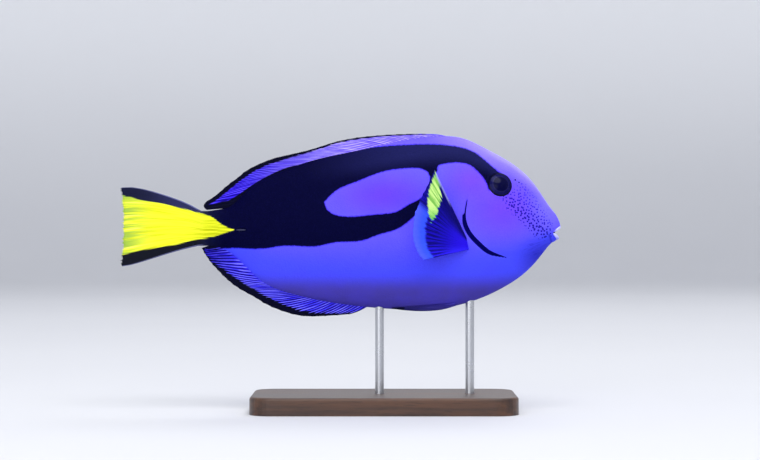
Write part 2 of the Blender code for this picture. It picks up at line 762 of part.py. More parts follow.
def make_fins():
    upright_fin("dorsal_fin", DORSAL_FRONT_X, DORSAL_REAR_X, lambda x: back_z(x) + GAP,
                DORSAL_EDGE, DORSAL_RAYS)
    upright_fin("anal_fin", ANAL_FRONT_X, ANAL_REAR_X, lambda x: belly_z(x) - GAP,
                ANAL_EDGE, ANAL_RAYS)
    make_caudal()


def main():
    make_body()
    make_fins()
    make_stand()
    for word, side in (("right", -1), ("left", 1)):
        make_gill_cover("gill_cover_" + word, side)
        make_eye("eye_" + word, side)
        make_pectoral("pectoral_fin_" + word, side)
        make_pelvic("pelvic_fin_" + word, side)
        make_tail_spine("tail_spine_" + word, side)
    for item in PARTS.objects:
        item.data.shade_smooth()
        item.data.set_sharp_from_angle(angle=SHARP_ANGLE)


main()
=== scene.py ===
# %% [markdown]
# # A regal blue tang as a museum model
# The real fish is a flat oval, blue, with a black palette-shaped marking and a yellow tail.
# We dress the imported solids: they give the size and the place of every piece, and this
# script builds the looks round them. All lengths are in metres, +X is the snout's side and
# the fish shows its right flank, on the -Y side, to the camera.

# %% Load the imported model
import math

import bmesh
import bpy
import numpy as np
from mathutils import Matrix, Vector


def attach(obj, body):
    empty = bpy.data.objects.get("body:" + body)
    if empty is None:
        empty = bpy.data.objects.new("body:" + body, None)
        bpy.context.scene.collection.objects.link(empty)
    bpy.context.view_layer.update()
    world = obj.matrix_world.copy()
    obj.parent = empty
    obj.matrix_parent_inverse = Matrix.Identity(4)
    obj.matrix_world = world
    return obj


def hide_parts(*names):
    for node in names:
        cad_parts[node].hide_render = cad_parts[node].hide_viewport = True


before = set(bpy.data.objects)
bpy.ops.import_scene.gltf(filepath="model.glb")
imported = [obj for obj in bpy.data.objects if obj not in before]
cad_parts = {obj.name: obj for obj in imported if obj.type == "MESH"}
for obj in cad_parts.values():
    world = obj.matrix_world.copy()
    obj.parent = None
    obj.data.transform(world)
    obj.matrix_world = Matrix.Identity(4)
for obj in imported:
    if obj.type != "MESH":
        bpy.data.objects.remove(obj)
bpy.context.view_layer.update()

# %% [markdown]
# ## The body's outline
# A fish's body is a loft: at each station along its length it has a top, a bottom and a
# half width. A few measured points for each, joined by smooth curves, hold the whole shape.
# They are the part's own values, so that the skin lies on the solids. Only the tail stalk
# thins a little sooner, to let the tail fin grow out of it.

# %% Outline values
BACK_LINE = [
    (-0.0640, 0.0902), (-0.0560, 0.0914), (-0.0500, 0.0932), (-0.0415, 0.1012),
    (-0.0314, 0.1072), (-0.0127, 0.1139), (0.0091, 0.1187), (0.0273, 0.1228),
    (0.0455, 0.1249), (0.0560, 0.1238), (0.0677, 0.1184), (0.0800, 0.1111),
    (0.0897, 0.1012), (0.0974, 0.0903), (0.1010, 0.0874),
]
BELLY_LINE = [
    (-0.0640, 0.0757), (-0.0577, 0.0747), (-0.0500, 0.0719), (-0.0432, 0.0659),
    (-0.0360, 0.0592), (-0.0255, 0.0542), (-0.0036, 0.0492), (0.0236, 0.0463),
    (0.0445, 0.0464), (0.0563, 0.0487), (0.0677, 0.0528), (0.0765, 0.0574),
    (0.0852, 0.0638), (0.0914, 0.0707), (0.0970, 0.0768), (0.1010, 0.0766),
]
HALF_WIDTH = [
    (-0.0640, 0.0017), (-0.0560, 0.0023), (-0.0450, 0.0036), (-0.0300, 0.0062),
    (-0.0050, 0.0099), (0.0180, 0.0124), (0.0400, 0.0135), (0.0580, 0.0134),
    (0.0720, 0.0119), (0.0830, 0.0092), (0.0920, 0.0059), (0.0970, 0.0042), (0.1010, 0.0036),
]
WIDEST_SHARE = [(-0.0640, 0.50), (0.0000, 0.51), (0.0450, 0.54), (0.0750, 0.55), (0.1010, 0.50)]
BACK_POWER = 1.36
BELLY_POWER = 1.12
SNOUT_ROUND_X = 0.0968
SNOUT_TIP_X = 0.1003
TAIL_ROUND_X = -0.0640
TAIL_TIP_X = -0.0668
TAIL_THIN_X, TAIL_THINNING = -0.0560, 0.7
SLOPE_STEP = 0.0001
MM = 1000.0


def spline_through(points):
    """A smooth curve through a few (x, value) points, as a function of one x or of many."""
    ordered = sorted(points)
    xs = np.array([p[0] for p in ordered])
    values = np.array([p[1] for p in ordered])
    count = len(xs)
    steps = np.diff(xs)
    slopes = np.diff(values) / steps
    system = np.eye(count)
    right_side = np.zeros(count)
    for i in range(1, count - 1):
        system[i, i - 1:i + 2] = [steps[i - 1], 2 * (steps[i - 1] + steps[i]), steps[i]]
        right_side[i] = 6 * (slopes[i] - slopes[i - 1])
    bends = np.linalg.solve(system, right_side)

    def value_at(x):
        x = np.clip(x, xs[0], xs[-1])
        i = np.clip(np.searchsorted(xs, x) - 1, 0, count - 2)
        before = (x - xs[i]) / steps[i]
        after = 1 - before
        curve = (after ** 3 - after) * bends[i] + (before ** 3 - before) * bends[i + 1]
        return after * values[i] + before * values[i + 1] + curve * steps[i] ** 2 / 6

    return value_at


def smooth_step(x, low, high):
    """0 below low, 1 above high, and a soft rise between them."""
    t = np.clip((x - low) / (high - low), 0.0, 1.0)
    return t * t * (3 - 2 * t)


def blend(low, high, share):
    return low + (high - low) * share


back_z = spline_through(BACK_LINE)
belly_z = spline_through(BELLY_LINE)
half_width = spline_through(HALF_WIDTH)
widest_share = spline_through(WIDEST_SHARE)
print("body height at x 0.03:", round(float(back_z(0.03) - belly_z(0.03)), 4))

# %% [markdown]
# ## A point of the skin
# Each cross section is a pointed oval: sharp along the back, fuller at the belly. One
# formula turns x and an angle round the section into a point, so the skin, the eyes and
# the fins' roots all find their place on the same surface.

# %% The body's surface
def section(x):
    """Half width, widest height, and the reach above and below it, of the body at x."""
    top, bottom = back_z(x), belly_z(x)
    middle, half = (top + bottom) / 2, (top - bottom) / 2
    ahead = np.clip((x - SNOUT_ROUND_X) / (SNOUT_TIP_X - SNOUT_ROUND_X), 0, 1)
    behind = np.clip((x - TAIL_ROUND_X) / (TAIL_TIP_X - TAIL_ROUND_X), 0, 1)
    rounding = np.sqrt(1 - ahead ** 2) * np.sqrt(1 - behind ** 2)
    half = half * rounding
    widest = middle - half + 2 * half * widest_share(x)
    thinned = 1 - TAIL_THINNING * smooth_step(-x, -TAIL_THIN_X, -TAIL_TIP_X)
    width = half_width(x) * rounding * thinned
    return width, widest, middle + half - widest, widest - middle + half


def surface(x, angle):
    """Points of the body: angle 0 is the back, a right angle the left flank, pi the belly."""
    x, angle = np.broadcast_arrays(np.asarray(x, float), np.asarray(angle, float))
    width, widest, above, below = section(x)
    up = np.cos(angle) > 0
    power = np.where(up, BACK_POWER, BELLY_POWER)
    out = np.sign(np.sin(angle)) * np.abs(np.sin(angle)) ** power
    z = widest + np.where(up, above, below) * np.cos(angle)
    return np.stack([x, width * out, z], axis=-1)


def surface_normal(x, angle, side):
    along = surface(x + SLOPE_STEP, angle) - surface(x - SLOPE_STEP, angle)
    around = surface(x, angle + SLOPE_STEP) - surface(x, angle - SLOPE_STEP)
    normal = np.cross(along, around)
    normal /= np.linalg.norm(normal, axis=-1, keepdims=True)
    return np.where(normal[..., 1:2] * side > 0, normal, -normal)


def flank(x, z, side):
    """The points and outward directions of the flank at x and height z, left +1 or right -1."""
    _, widest, above, below = section(x)
    reach = np.where(z > widest, above, below)
    angle = side * np.arccos(np.clip((z - widest) / reach, -1, 1))
    return surface(x, angle), surface_normal(x, angle, side)


print("right flank at x 0.03, z 0.08:", flank(0.03, 0.08, -1)[0].round(4))

# %% [markdown]
# ## The skin's net of points
# The gill cover ends in a crisp edge. On a plain grid that edge would run across the cells
# and look jagged, so the stations bend with it: near the gill opening each ring follows the
# opening's line, and further off the rings straighten out again.

# %% Rings that follow the gill opening
GILL_LINE = [
    (0.0560, 0.0930), (0.0640, 0.0852), (0.0680, 0.0790), (0.0702, 0.0744), (0.0723, 0.0691),
    (0.0750, 0.0652), (0.0800, 0.0602), (0.0893, 0.0567), (0.0955, 0.0575), (0.1060, 0.0572),
    (0.1290, 0.0510),
]
GILL_MIDDLE_X = 0.0580
GILL_RINGS = [-0.0029, -0.0025, -0.0021, -0.0017, -0.0014, -0.0011, -0.0008, -0.0004,
              -0.00012, 0.0, 0.0002, 0.0005, 0.0009]
BEND_FROM_X = 0.0200
RING_SIDES, FLANK_CROWDING = 300, 0.2
TAIL_RINGS, TRUNK_RINGS, HEAD_RINGS, END_RINGS = 104, 62, 100, 9
BEND_BACK, BEND_AHEAD, HALVINGS = 0.03, 0.04, 44
gill_x = spline_through(GILL_LINE)


def ring_stations():
    """The rings' x before they bend, from the tail to the snout."""
    quarter = np.sin(np.linspace(0, math.pi / 2, END_RINGS + 1))
    tail = TAIL_ROUND_X + (TAIL_TIP_X - TAIL_ROUND_X) * quarter[-2:0:-1]
    snout = SNOUT_ROUND_X + (SNOUT_TIP_X - SNOUT_ROUND_X) * quarter[1:-1]
    low = GILL_MIDDLE_X + GILL_RINGS[0]
    high = GILL_MIDDLE_X + GILL_RINGS[-1]
    return np.concatenate([
        tail,
        np.linspace(TAIL_ROUND_X, BEND_FROM_X, TAIL_RINGS, endpoint=False),
        np.linspace(BEND_FROM_X, low, TRUNK_RINGS, endpoint=False),
        GILL_MIDDLE_X + np.array(GILL_RINGS),
        np.linspace(high, SNOUT_ROUND_X, HEAD_RINGS)[1:],
        snout,
    ])


def bent_rings(stations, angles):
    """The x of every ring's points, found by halving, so that a ring follows the gill line."""
    start, angle = np.meshgrid(stations, angles, indexing="ij")
    ahead = (SNOUT_ROUND_X - start) / (SNOUT_ROUND_X - GILL_MIDDLE_X)
    behind = (start - BEND_FROM_X) / (GILL_MIDDLE_X - BEND_FROM_X)
    share = np.clip(np.minimum(ahead, behind), 0, 1)
    low = start - BEND_BACK * (share > 0)
    high = np.minimum(start + BEND_AHEAD * (share > 0), SNOUT_TIP_X)
    for _ in range(HALVINGS):
        middle = (low + high) / 2
        z = surface(middle, angle)[..., 2]
        too_far = middle - start - share * (gill_x(z) - GILL_MIDDLE_X) > 0
        high = np.where(too_far, middle, high)
        low = np.where(too_far, low, middle)
    return np.where(share > 0, (low + high) / 2, start)


stations = ring_stations()
angles = np.linspace(0, 2 * math.pi, RING_SIDES, endpoint=False)
angles = angles + FLANK_CROWDING * np.sin(2 * angles)
skin_x = bent_rings(stations, angles)
skin = surface(skin_x, angles[None, :])
print("rings:", len(stations), "points:", skin.shape[0] * skin.shape[1])

# %% [markdown]
# ## Where the eyes sit
# The eye is a lens-shaped ball set into the cheek, and a fish's eye stands a little proud.
# Its place and its direction come from the flank, as in the solids. It is a tenth of a
# millimetre smaller than theirs, so that the socket's soft rim shows round it.

# %% Eye places
EYE_X, EYE_Z = 0.0723, 0.1026
EYE_RADIUS, EYE_HALF_DEPTH, EYE_PROUD = 0.0064, 0.0031, 0.0014


def eye_place(side):
    """The eye's centre and its outward direction."""
    point, normal = flank(EYE_X, EYE_Z, side)
    return point - normal * (EYE_HALF_DEPTH - EYE_PROUD), normal


def eye_distance(points):
    """How far points are from the nearer eye's axis."""
    nearest = np.full(points.shape[:-1], 1.0)
    for side in (-1, 1):
        centre, normal = eye_place(side)
        off = points - centre
        across = off - (off @ normal)[..., None] * normal
        on_side = points[..., 1] * side > 0
        nearest = np.where(on_side, np.linalg.norm(across, axis=-1), nearest)
    return nearest


eye_seen = EYE_RADIUS * math.sqrt(1 - (1 - EYE_PROUD / EYE_HALF_DEPTH) ** 2)
print("radius of the eye that shows:", round(eye_seen, 5))

# %% [markdown]
# ## Markings as distances
# The fish's colours meet in crisp lines. Rather than painting a picture, we keep for each
# point its distance to a marking's outline, in millimetres, positive inside. The material
# then cuts at zero, which stays sharp at any zoom. Each outline is a few named points, read
# as the camera sees them, so a point of the curved flank is first carried to that view.

# %% Marking outlines, as (x, z) in millimetres
BAND_TOP = [(71.4, 109.0), (66.2, 113.5), (61.4, 117.2), (54.9, 119.6), (46.8, 120.8),
            (30.5, 120.8), (14.1, 119.6), (-2.0, 117.0), (-13.6, 114.9)]
BAND_ROUND_TAIL = [(-22.7, 123.1), (-104.5, 123.1), (-104.5, 64.0), (-59.1, 67.6)]
BAND_LOW = [(-53.6, 73.8), (-50.0, 74.1), (-43.2, 73.9), (-32.7, 74.1), (-27.0, 75.0),
            (-20.0, 75.1), (-10.0, 75.0), (-2.7, 76.6), (3.6, 77.0), (9.4, 77.4), (16.8, 79.9),
            (22.3, 81.5), (27.3, 83.5), (33.6, 88.4), (37.7, 92.4), (40.3, 98.1), (41.4, 102.6),
            (42.3, 107.8)]
BAND_ARM = [(42.3, 107.8), (43.9, 108.6), (44.3, 111.1), (46.8, 112.3), (50.8, 112.9),
            (54.9, 112.9), (58.9, 111.9), (63.0, 108.6), (66.2, 104.6), (67.7, 100.5)]
BAND_AT_EYE = [(70.0, 99.5), (74.1, 102.2), (73.6, 107.6)]
OVAL = [(-7.3, 94.9), (-2.0, 100.1), (6.2, 103.8), (14.1, 107.0), (22.3, 109.5), (30.5, 110.4),
        (36.2, 110.3), (39.9, 108.6), (41.1, 105.8), (40.5, 101.3), (38.6, 98.1), (34.5, 95.2),
        (30.5, 93.2), (25.6, 90.4), (18.4, 89.3), (10.2, 88.5), (2.1, 88.2), (-2.7, 89.2),
        (-6.0, 91.6), (-7.3, 94.9)]
WEDGE_TOP = [(-48.3, 82.4), (-53.4, 84.5), (-57.6, 87.6), (-64.5, 90.2), (-70.4, 91.6),
             (-80.4, 94.2), (-89.3, 95.5), (-96.8, 97.5), (-100.9, 98.3)]
WEDGE_LOW = [(-100.9, 70.4), (-98.2, 71.0), (-89.3, 72.9), (-80.4, 74.7), (-74.1, 75.8),
             (-66.4, 77.7), (-60.4, 78.6), (-56.2, 79.6), (-51.4, 81.1), (-48.3, 82.4)]
SPECKLED = [(72.0, 97.5), (78.5, 101.5), (80.5, 106.0), (86.0, 103.0), (92.0, 94.0), (97.5, 85.5),
            (97.5, 79.5), (93.5, 76.5), (88.0, 78.5), (81.5, 85.5), (75.0, 91.5)]
STEPS_BETWEEN = 6
CAMERA_DISTANCE = 1.0
AIM = (0.0182, 0.0822)


def smooth_path(points):
    """A smooth line of points through a few given ones."""
    flat = np.array(points)
    lengths = np.concatenate([[0], np.cumsum(np.linalg.norm(np.diff(flat, axis=0), axis=1))])
    at = np.linspace(0, lengths[-1], STEPS_BETWEEN * (len(flat) - 1) + 1)
    return np.stack([spline_through(list(zip(lengths, flat[:, k])))(at) for k in (0, 1)], axis=1)


def as_seen(points):
    """Where points appear in the middle plane, in millimetres, seen square from their side."""
    grown = CAMERA_DISTANCE / (CAMERA_DISTANCE - np.abs(points[:, 1]))
    return np.stack([AIM[k // 2] + (points[:, k] - AIM[k // 2]) * grown for k in (0, 2)],
                    axis=1) * MM


def signed_distance(points, outline):
    """How far (x, z) points lie inside a closed outline; outside is below zero."""
    nearest = np.full(len(points), np.inf)
    inside = np.zeros(len(points), bool)
    for a, b in zip(outline, np.roll(outline, -1, axis=0)):
        edge = b - a
        if not edge.any():
            continue
        off = points - a
        share = np.clip(off @ edge / (edge @ edge), 0, 1)
        nearest = np.minimum(nearest, np.linalg.norm(off - share[:, None] * edge, axis=1))
        crosses = (a[1] > points[:, 1]) != (b[1] > points[:, 1])
        run = np.divide(off[:, 1] * edge[0], edge[1], out=np.zeros(len(off)), where=crosses)
        inside ^= crosses & (off[:, 0] < run)
    return np.where(inside, nearest, -nearest)


band_outline = np.concatenate([smooth_path(BAND_TOP), BAND_ROUND_TAIL, smooth_path(BAND_LOW),
                               smooth_path(BAND_ARM), BAND_AT_EYE])
oval_outline = smooth_path(OVAL)
wedge_outline = np.concatenate([smooth_path(WEDGE_TOP), smooth_path(WEDGE_LOW)])
speckled_outline = np.array(SPECKLED)
print("outline points:", len(band_outline), len(oval_outline), len(wedge_outline))

# %% [markdown]
# ## Relief of the head and flank
# Real shape makes the gill cover's raised edge, the slit behind it, the eye's socket with
# its soft rim, the fold behind the mouth, the fleshy base of the pectoral fin and the groove
# that the tail spine folds into; the slit and the fold are also darkened with painted shade
# in the skin's finish. Each is a smooth bump or dent, pushed along the skin's own normal.

# %% Relief
GILL_SLIT_WIDTH = [(0.0697, 0.0), (0.0701, 0.0010), (0.0708, 0.0020), (0.0730, 0.0024),
                   (0.0780, 0.0025), (0.0850, 0.0023), (0.0888, 0.0017), (0.0898, 0.0006),
                   (0.0950, 0.0004), (0.0962, 0.0)]
GILL_SLIT_DEPTH, SLIT_EDGE = 0.0011, 0.00002
SLIT_FLOOR, SLIT_WALL, SLIT_SLACK, SLIT_OPENS = 0.45, 1.1, 0.00005, 0.0003
COVER_PROUD, COVER_FADE = 0.00042, 0.0070
COVER_FROM_Z, COVER_TO_Z = (0.0700, 0.0740), (0.0925, 0.1000)
SOCKET_DEPTH, SOCKET_FLOOR, SOCKET_WALL = 0.0012, 0.0009, 0.0001
SOCKET_RIM, RIM_OFF, RIM_WIDTH = 0.00022, 0.0004, 0.0006
FIN_BASE_PROUD, FIN_BASE_REACH, FIN_BASE_SHIFT = 0.0003, (0.0030, 0.0052), 0.0008
FOLD_DEPTH, FOLD_WIDTH = 0.00022, 0.00045
GROOVE_DEPTH, GROOVE_LENGTH, GROOVE_HEIGHT = 0.0006, 0.62, 1.1
SPINE_X, SPINE_Z = -0.0448, 0.0822
SPINE_LENGTH, SPINE_HEIGHT, SPINE_DEPTH = 0.0046, 0.0012, 0.0011
PECTORAL_ROOT_TOP, PECTORAL_ROOT_BOTTOM = (0.0566, 0.0784), (0.0578, 0.0738)
PECTORAL_MIDDLE = [(PECTORAL_ROOT_TOP[k] + PECTORAL_ROOT_BOTTOM[k]) / 2 for k in (0, 1)]
MOUTH_FOLD = np.linspace((0.0948, 0.0800), (0.0960, 0.0766), 24)
gill_heights = np.linspace(GILL_LINE[0][0], GILL_LINE[-1][0], 220)
gill_path = np.stack([gill_x(gill_heights), gill_heights], axis=1)
ahead_of_gills = np.concatenate([gill_path, [(0.12, GILL_LINE[-1][0]), (0.12, GILL_LINE[0][0])]])


def mound(x, z, centre, reach):
    """1 at the centre, falling to 0 at an ellipse's edge."""
    off = np.hypot((x - centre[0]) / reach[0], (z - centre[1]) / reach[1])
    return 1 - smooth_step(off, 0.0, 1.0)


def fold_distance(flat):
    """How far (x, z) points are from the fold behind the mouth's corner."""
    return np.linalg.norm(flat[:, None] - MOUTH_FOLD[None], axis=-1).min(axis=1)


def gill_slit(flat):
    """How deep in the gill slit points lie, from 0 to 1, and how far ahead of its line."""
    ahead = signed_distance(flat, ahead_of_gills)
    width = np.interp(flat[:, 1], *np.transpose(GILL_SLIT_WIDTH))
    open_here = smooth_step(width, 0.0, SLIT_OPENS)
    wall = 1 - smooth_step(-ahead, SLIT_FLOOR * width, SLIT_WALL * width + SLIT_SLACK)
    return np.where(ahead < -SLIT_EDGE, wall * open_here, 0.0), ahead


def relief(points):
    """How far the skin is pushed out at each point."""
    x, z = points[:, 0], points[:, 2]
    slit, ahead = gill_slit(points[:, [0, 2]])
    window = smooth_step(z, *COVER_FROM_Z) * (1 - smooth_step(z, *COVER_TO_Z))
    cover = np.where(ahead > -SLIT_EDGE, np.exp(-np.maximum(ahead, 0) / COVER_FADE), 0.0)
    push = COVER_PROUD * window * cover - GILL_SLIT_DEPTH * slit
    to_eye = eye_distance(points)
    wall = smooth_step(to_eye, eye_seen - SOCKET_FLOOR, eye_seen - SOCKET_WALL)
    push -= SOCKET_DEPTH * (1 - wall)
    push += SOCKET_RIM * np.exp(-((to_eye - eye_seen - RIM_OFF) / RIM_WIDTH) ** 2)
    root = (PECTORAL_MIDDLE[0] + FIN_BASE_SHIFT, PECTORAL_MIDDLE[1])
    push += FIN_BASE_PROUD * mound(x, z, root, FIN_BASE_REACH) * (ahead < -FIN_BASE_SHIFT)
    push -= FOLD_DEPTH * np.exp(-(fold_distance(points[:, [0, 2]]) / FOLD_WIDTH) ** 2)
    groove = (SPINE_LENGTH * GROOVE_LENGTH, SPINE_HEIGHT * GROOVE_HEIGHT)
    return push - GROOVE_DEPTH * mound(x, z, (SPINE_X, SPINE_Z), groove)


flat_skin = skin.reshape(-1, 3)
pushes = relief(flat_skin).reshape(skin.shape[:2])
print("relief from", pushes.min().round(5), "to", pushes.max().round(5))

# %% [markdown]
# ## From net to mesh
# The net becomes one closed mesh: quads between rings and a fan at each pole, so that no
# hole is left. Small helpers write numbers onto its points for the materials to read.

# %% Mesh helpers and the skin
def new_object(name, mesh):
    item = bpy.data.objects.new(name, mesh)
    bpy.context.scene.collection.objects.link(item)
    return item


def mesh_from(name, points, faces, edges=()):
    mesh = bpy.data.meshes.new(name)
    mesh.from_pydata(np.asarray(points).tolist(), list(edges), faces)
    mesh.update()
    return mesh


def store(mesh, name, values):
    """Keeps one number for each point of a mesh, under a name."""
    slot = mesh.attributes.get(name) or mesh.attributes.new(name, "FLOAT", "POINT")
    slot.data.foreach_set("value", np.asarray(values, np.float32))


def stored(mesh, name):
    values = np.zeros(len(mesh.vertices), np.float32)
    mesh.attributes[name].data.foreach_get("value", values)
    return values.astype(float)


def points_of(mesh):
    flat = np.zeros(len(mesh.vertices) * 3, np.float32)
    mesh.vertices.foreach_get("co", flat)
    return flat.reshape(-1, 3).astype(float)


def outward(mesh):
    """Turns every face outwards."""
    work = bmesh.new()
    work.from_mesh(mesh)
    bmesh.ops.recalc_face_normals(work, faces=work.faces)
    work.to_mesh(mesh)
    work.free()
    mesh.shade_smooth()


def grid_faces(rows, columns, closed):
    """Quads between the neighbours of a grid whose rows may be closed rings."""
    faces = []
    for i in range(rows - 1):
        for j in range(columns if closed else columns - 1):
            k = (j + 1) % columns
            faces.append((i * columns + j, i * columns + k,
                          (i + 1) * columns + k, (i + 1) * columns + j))
    return faces


def closed_tube(name, rings, first_pole, last_pole):
    """A closed mesh from rings of points and a pole at each end."""
    rows, columns = rings.shape[:2]
    faces = grid_faces(rows, columns, True)
    first, last = rows * columns, rows * columns + 1
    for j in range(columns):
        k = (j + 1) % columns
        faces.append((first, k, j))
        faces.append((last, (rows - 1) * columns + j, (rows - 1) * columns + k))
    mesh = mesh_from(name, np.concatenate([rings.reshape(-1, 3), [first_pole, last_pole]]), faces)
    outward(mesh)
    return mesh


def net_normals(net):
    """Outward directions of a net of closed rings."""
    along = np.gradient(net, axis=0)
    around = np.roll(net, -1, axis=1) - np.roll(net, 1, axis=1)
    normal = np.cross(along, around)
    normal /= np.maximum(np.linalg.norm(normal, axis=-1, keepdims=True), 1e-12)
    centre = net.mean(axis=1, keepdims=True)
    outwards = np.sign((normal * (net - centre)).sum(axis=-1, keepdims=True))
    return normal * outwards


shaped = skin + net_normals(skin) * pushes[..., None]
poles = surface(np.array([TAIL_TIP_X, SNOUT_TIP_X]), 0.0)
skin_mesh = closed_tube("skin", shaped, poles[0], poles[1])
skin_item = new_object("skin", skin_mesh)
print("skin faces:", len(skin_mesh.polygons))

# %% [markdown]
# ## A box of short calls for materials
# A finish is a net of shader nodes: patterns feed masks, masks mix colours. Writing each
# node by hand takes many lines, so one small class adds a node and hands back its output.
# Values that are the same all over are set on the shader itself.

# %% The material builder
def tone(red, green, blue):
    """A colour as seen on a screen, 0 to 255, turned into the light it stands for."""
    seen = np.array([red, green, blue]) / 255
    light = np.where(seen <= 0.04045, seen / 12.92, ((seen + 0.055) / 1.055) ** 2.4)
    return (*light.tolist(), 1.0)


class Finish:
    """A material made from short calls. Positions are in millimetres of the object."""

    def __init__(self, name, **constants):
        self.material = bpy.data.materials.new(name)
        self.material.use_nodes = True
        self.tree = self.material.node_tree
        self.shader = self.tree.nodes["Principled BSDF"]
        for socket, value in constants.items():
            self.shader.inputs[socket.replace("_", " ")].default_value = value
        place = self.add("TexCoord").outputs["Object"]
        self.place = self.add("VectorMath", {0: place, "Scale": MM}, operation="SCALE").outputs[0]
        parts = self.add("SeparateXYZ", {0: self.place})
        self.x, self.y, self.z = parts.outputs

    def add(self, kind, feeds=None, **settings):
        node = self.tree.nodes.new("ShaderNode" + kind)
        for key, value in settings.items():
            setattr(node, key, value)
        for key, value in (feeds or {}).items():
            self.feed(node.inputs[key], value)
        return node

    def feed(self, socket, value):
        if isinstance(value, bpy.types.NodeSocket):
            self.tree.links.new(value, socket)
        else:
            socket.default_value = value

    def math(self, operation, a, b=0.0, c=0.0):
        feeds = dict(enumerate((a, b, c)))
        return self.add("Math", feeds, operation=operation).outputs[0]

    def step(self, value, low, high):
        """A soft rise from 0 to 1; low above high gives a fall."""
        node = self.add("MapRange", {"Value": value, "From Min": low, "From Max": high},
                        interpolation_type="SMOOTHSTEP")
        return node.outputs[0]

    def mask(self, *values):
        total = values[0]
        for value in values[1:]:
            total = self.math("MULTIPLY", total, value)
        return total

    def mix(self, share, a, b):
        node = self.add("Mix", {0: share, 6: a, 7: b}, data_type="RGBA")
        return node.outputs[2]

    def layers(self, colour, *coats):
        """Lays tones over a colour, each with its share: (share, (red, green, blue))."""
        for share, shade in coats:
            colour = self.mix(share, colour, tone(*shade))
        return colour

    def stored(self, name):
        return self.add("Attribute", attribute_name=name).outputs["Fac"]

    def vector(self, x, y, z=0.0):
        return self.add("CombineXYZ", {0: x, 1: y, 2: z}).outputs[0]

    def noise(self, size, vector=None, detail=2.0):
        """Soft noise around 0.5, with blobs of about the given size."""
        feeds = {"Vector": vector or self.place, "Scale": 1.0 / size, "Detail": detail}
        return self.add("TexNoise", feeds).outputs["Fac"]

    def streaks(self, lines, stretch):
        """Noise drawn out along a fin's rays, with about so many lines across the fin."""
        across = self.math("MULTIPLY", self.stored("across"), lines)
        along = self.math("MULTIPLY", self.stored("along"), stretch)
        return self.noise(1.0, self.vector(across, along), detail=3.0)

    def swing(self, noise, reach):
        """Noise that swings round zero instead of a half."""
        return self.math("MULTIPLY", self.math("SUBTRACT", noise, 0.5), reach)

    def spread(self, value, low, high):
        """A value from 0 to 1, carried to another range."""
        return self.add("MapRange", {"Value": value, "To Min": low, "To Max": high}).outputs[0]

    def cells(self, size, vector=None, randomness=1.0, flat=False):
        """The distance to the nearest of many scattered points, in cells."""
        feeds = {"Vector": vector or self.place, "Scale": 1.0 / size, "Randomness": randomness}
        kind = "2D" if flat else "3D"
        return self.add("TexVoronoi", feeds, voronoi_dimensions=kind).outputs["Distance"]

    def blob(self, centre, reach):
        """1 inside an ellipse of the side view and 0 outside, with a soft edge."""
        across = self.math("DIVIDE", self.math("SUBTRACT", self.x, centre[0]), reach[0])
        up = self.math("DIVIDE", self.math("SUBTRACT", self.z, centre[1]), reach[1])
        off = self.math("SQRT", self.math("ADD", self.math("MULTIPLY", across, across),
                                          self.math("MULTIPLY", up, up)))
        return self.step(off, 1.0, 0.0)

    def bump(self, *layers):
        """Relief finer than the mesh: (height, depth in millimetres) for each layer."""
        normal = None
        for height, depth in layers:
            feeds = {"Height": height, "Distance": depth / MM, "Strength": 1.0}
            if normal:
                feeds["Normal"] = normal
            normal = self.add("Bump", feeds).outputs[0]
        self.feed(self.shader.inputs["Normal"], normal)

    def done(self, colour, roughness=None):
        self.feed(self.shader.inputs["Base Color"], colour)
        if roughness is not None:
            self.feed(self.shader.inputs["Roughness"], roughness)
        return self.material


print("a mid blue as light:", [round(v, 3) for v in tone(97, 92, 254)])

# %% [markdown]
# ## The tail's outline
# The tail's yellow wedge starts on the stalk and ends on the fin. Both need the same streaks,
# so the fin's outline comes first, and later each point of the skin's end learns where it
# lies on the fin: how far across and how far along.

# %% Tail outline
CAUDAL_TOP = [(-0.0995, 0.1014), (-0.0959, 0.1016), (-0.0882, 0.1004), (-0.0764, 0.0968),
              (-0.0677, 0.0932), (-0.0628, 0.0904)]
CAUDAL_BOTTOM = [(-0.1002, 0.0657), (-0.0980, 0.0659), (-0.0893, 0.0681), (-0.0784, 0.0716),
                 (-0.0677, 0.0746), (-0.0628, 0.0757)]
CAUDAL_ROOT_X, CAUDAL_TIP_X, CAUDAL_HOLLOW = -0.0540, -0.1001, 0.0012
CAUDAL_JOIN_X, CAUDAL_INSET = -0.0628, 0.0012
STALK_TOP, STALK_BOTTOM = 0.0914, 0.0740
caudal_top = spline_through(CAUDAL_TOP)
caudal_bottom = spline_through(CAUDAL_BOTTOM)


def tail_reach(x):
    """The bottom and top of the tail fin at x; ahead of the join it hides in the stalk."""
    inset = CAUDAL_INSET * smooth_step(x, TAIL_ROUND_X + 0.0005, CAUDAL_ROOT_X)
    top = np.where(x > CAUDAL_JOIN_X, np.minimum(back_z(x), STALK_TOP), caudal_top(x))
    bottom = np.where(x > CAUDAL_JOIN_X, np.maximum(belly_z(x), STALK_BOTTOM), caudal_bottom(x))
    return bottom + inset, top - inset


print("height of the tail's rear edge:", np.subtract(*tail_reach(CAUDAL_TIP_X)[::-1]).round(4))

# %% [markdown]
# ## The skin's finish
# A living tang is velvety: its scales are tiny, so its blue is matt and even, more violet
# on the cheek. It is painted paler along the forehead as a painted highlight, with a pale
# painted rim light on the ridge, and darker under the belly, partly its own countershading
# and partly painted shade; the palette's black is painted lighter along its top, and the gill
# slit and the fold at the mouth's corner get painted shade. The zones are soft blobs and
# slopes, laid over one another. The palette and the tail wedge are the stored distances,
# speckles dot the snout, fine creases run from the mouth, and the scales are bump.

# %% Skin material
BLUE_GLOSS = (0.55, 0.60, 1.0, 1.0)
CAUDAL_BLACK = (15, 19, 48)


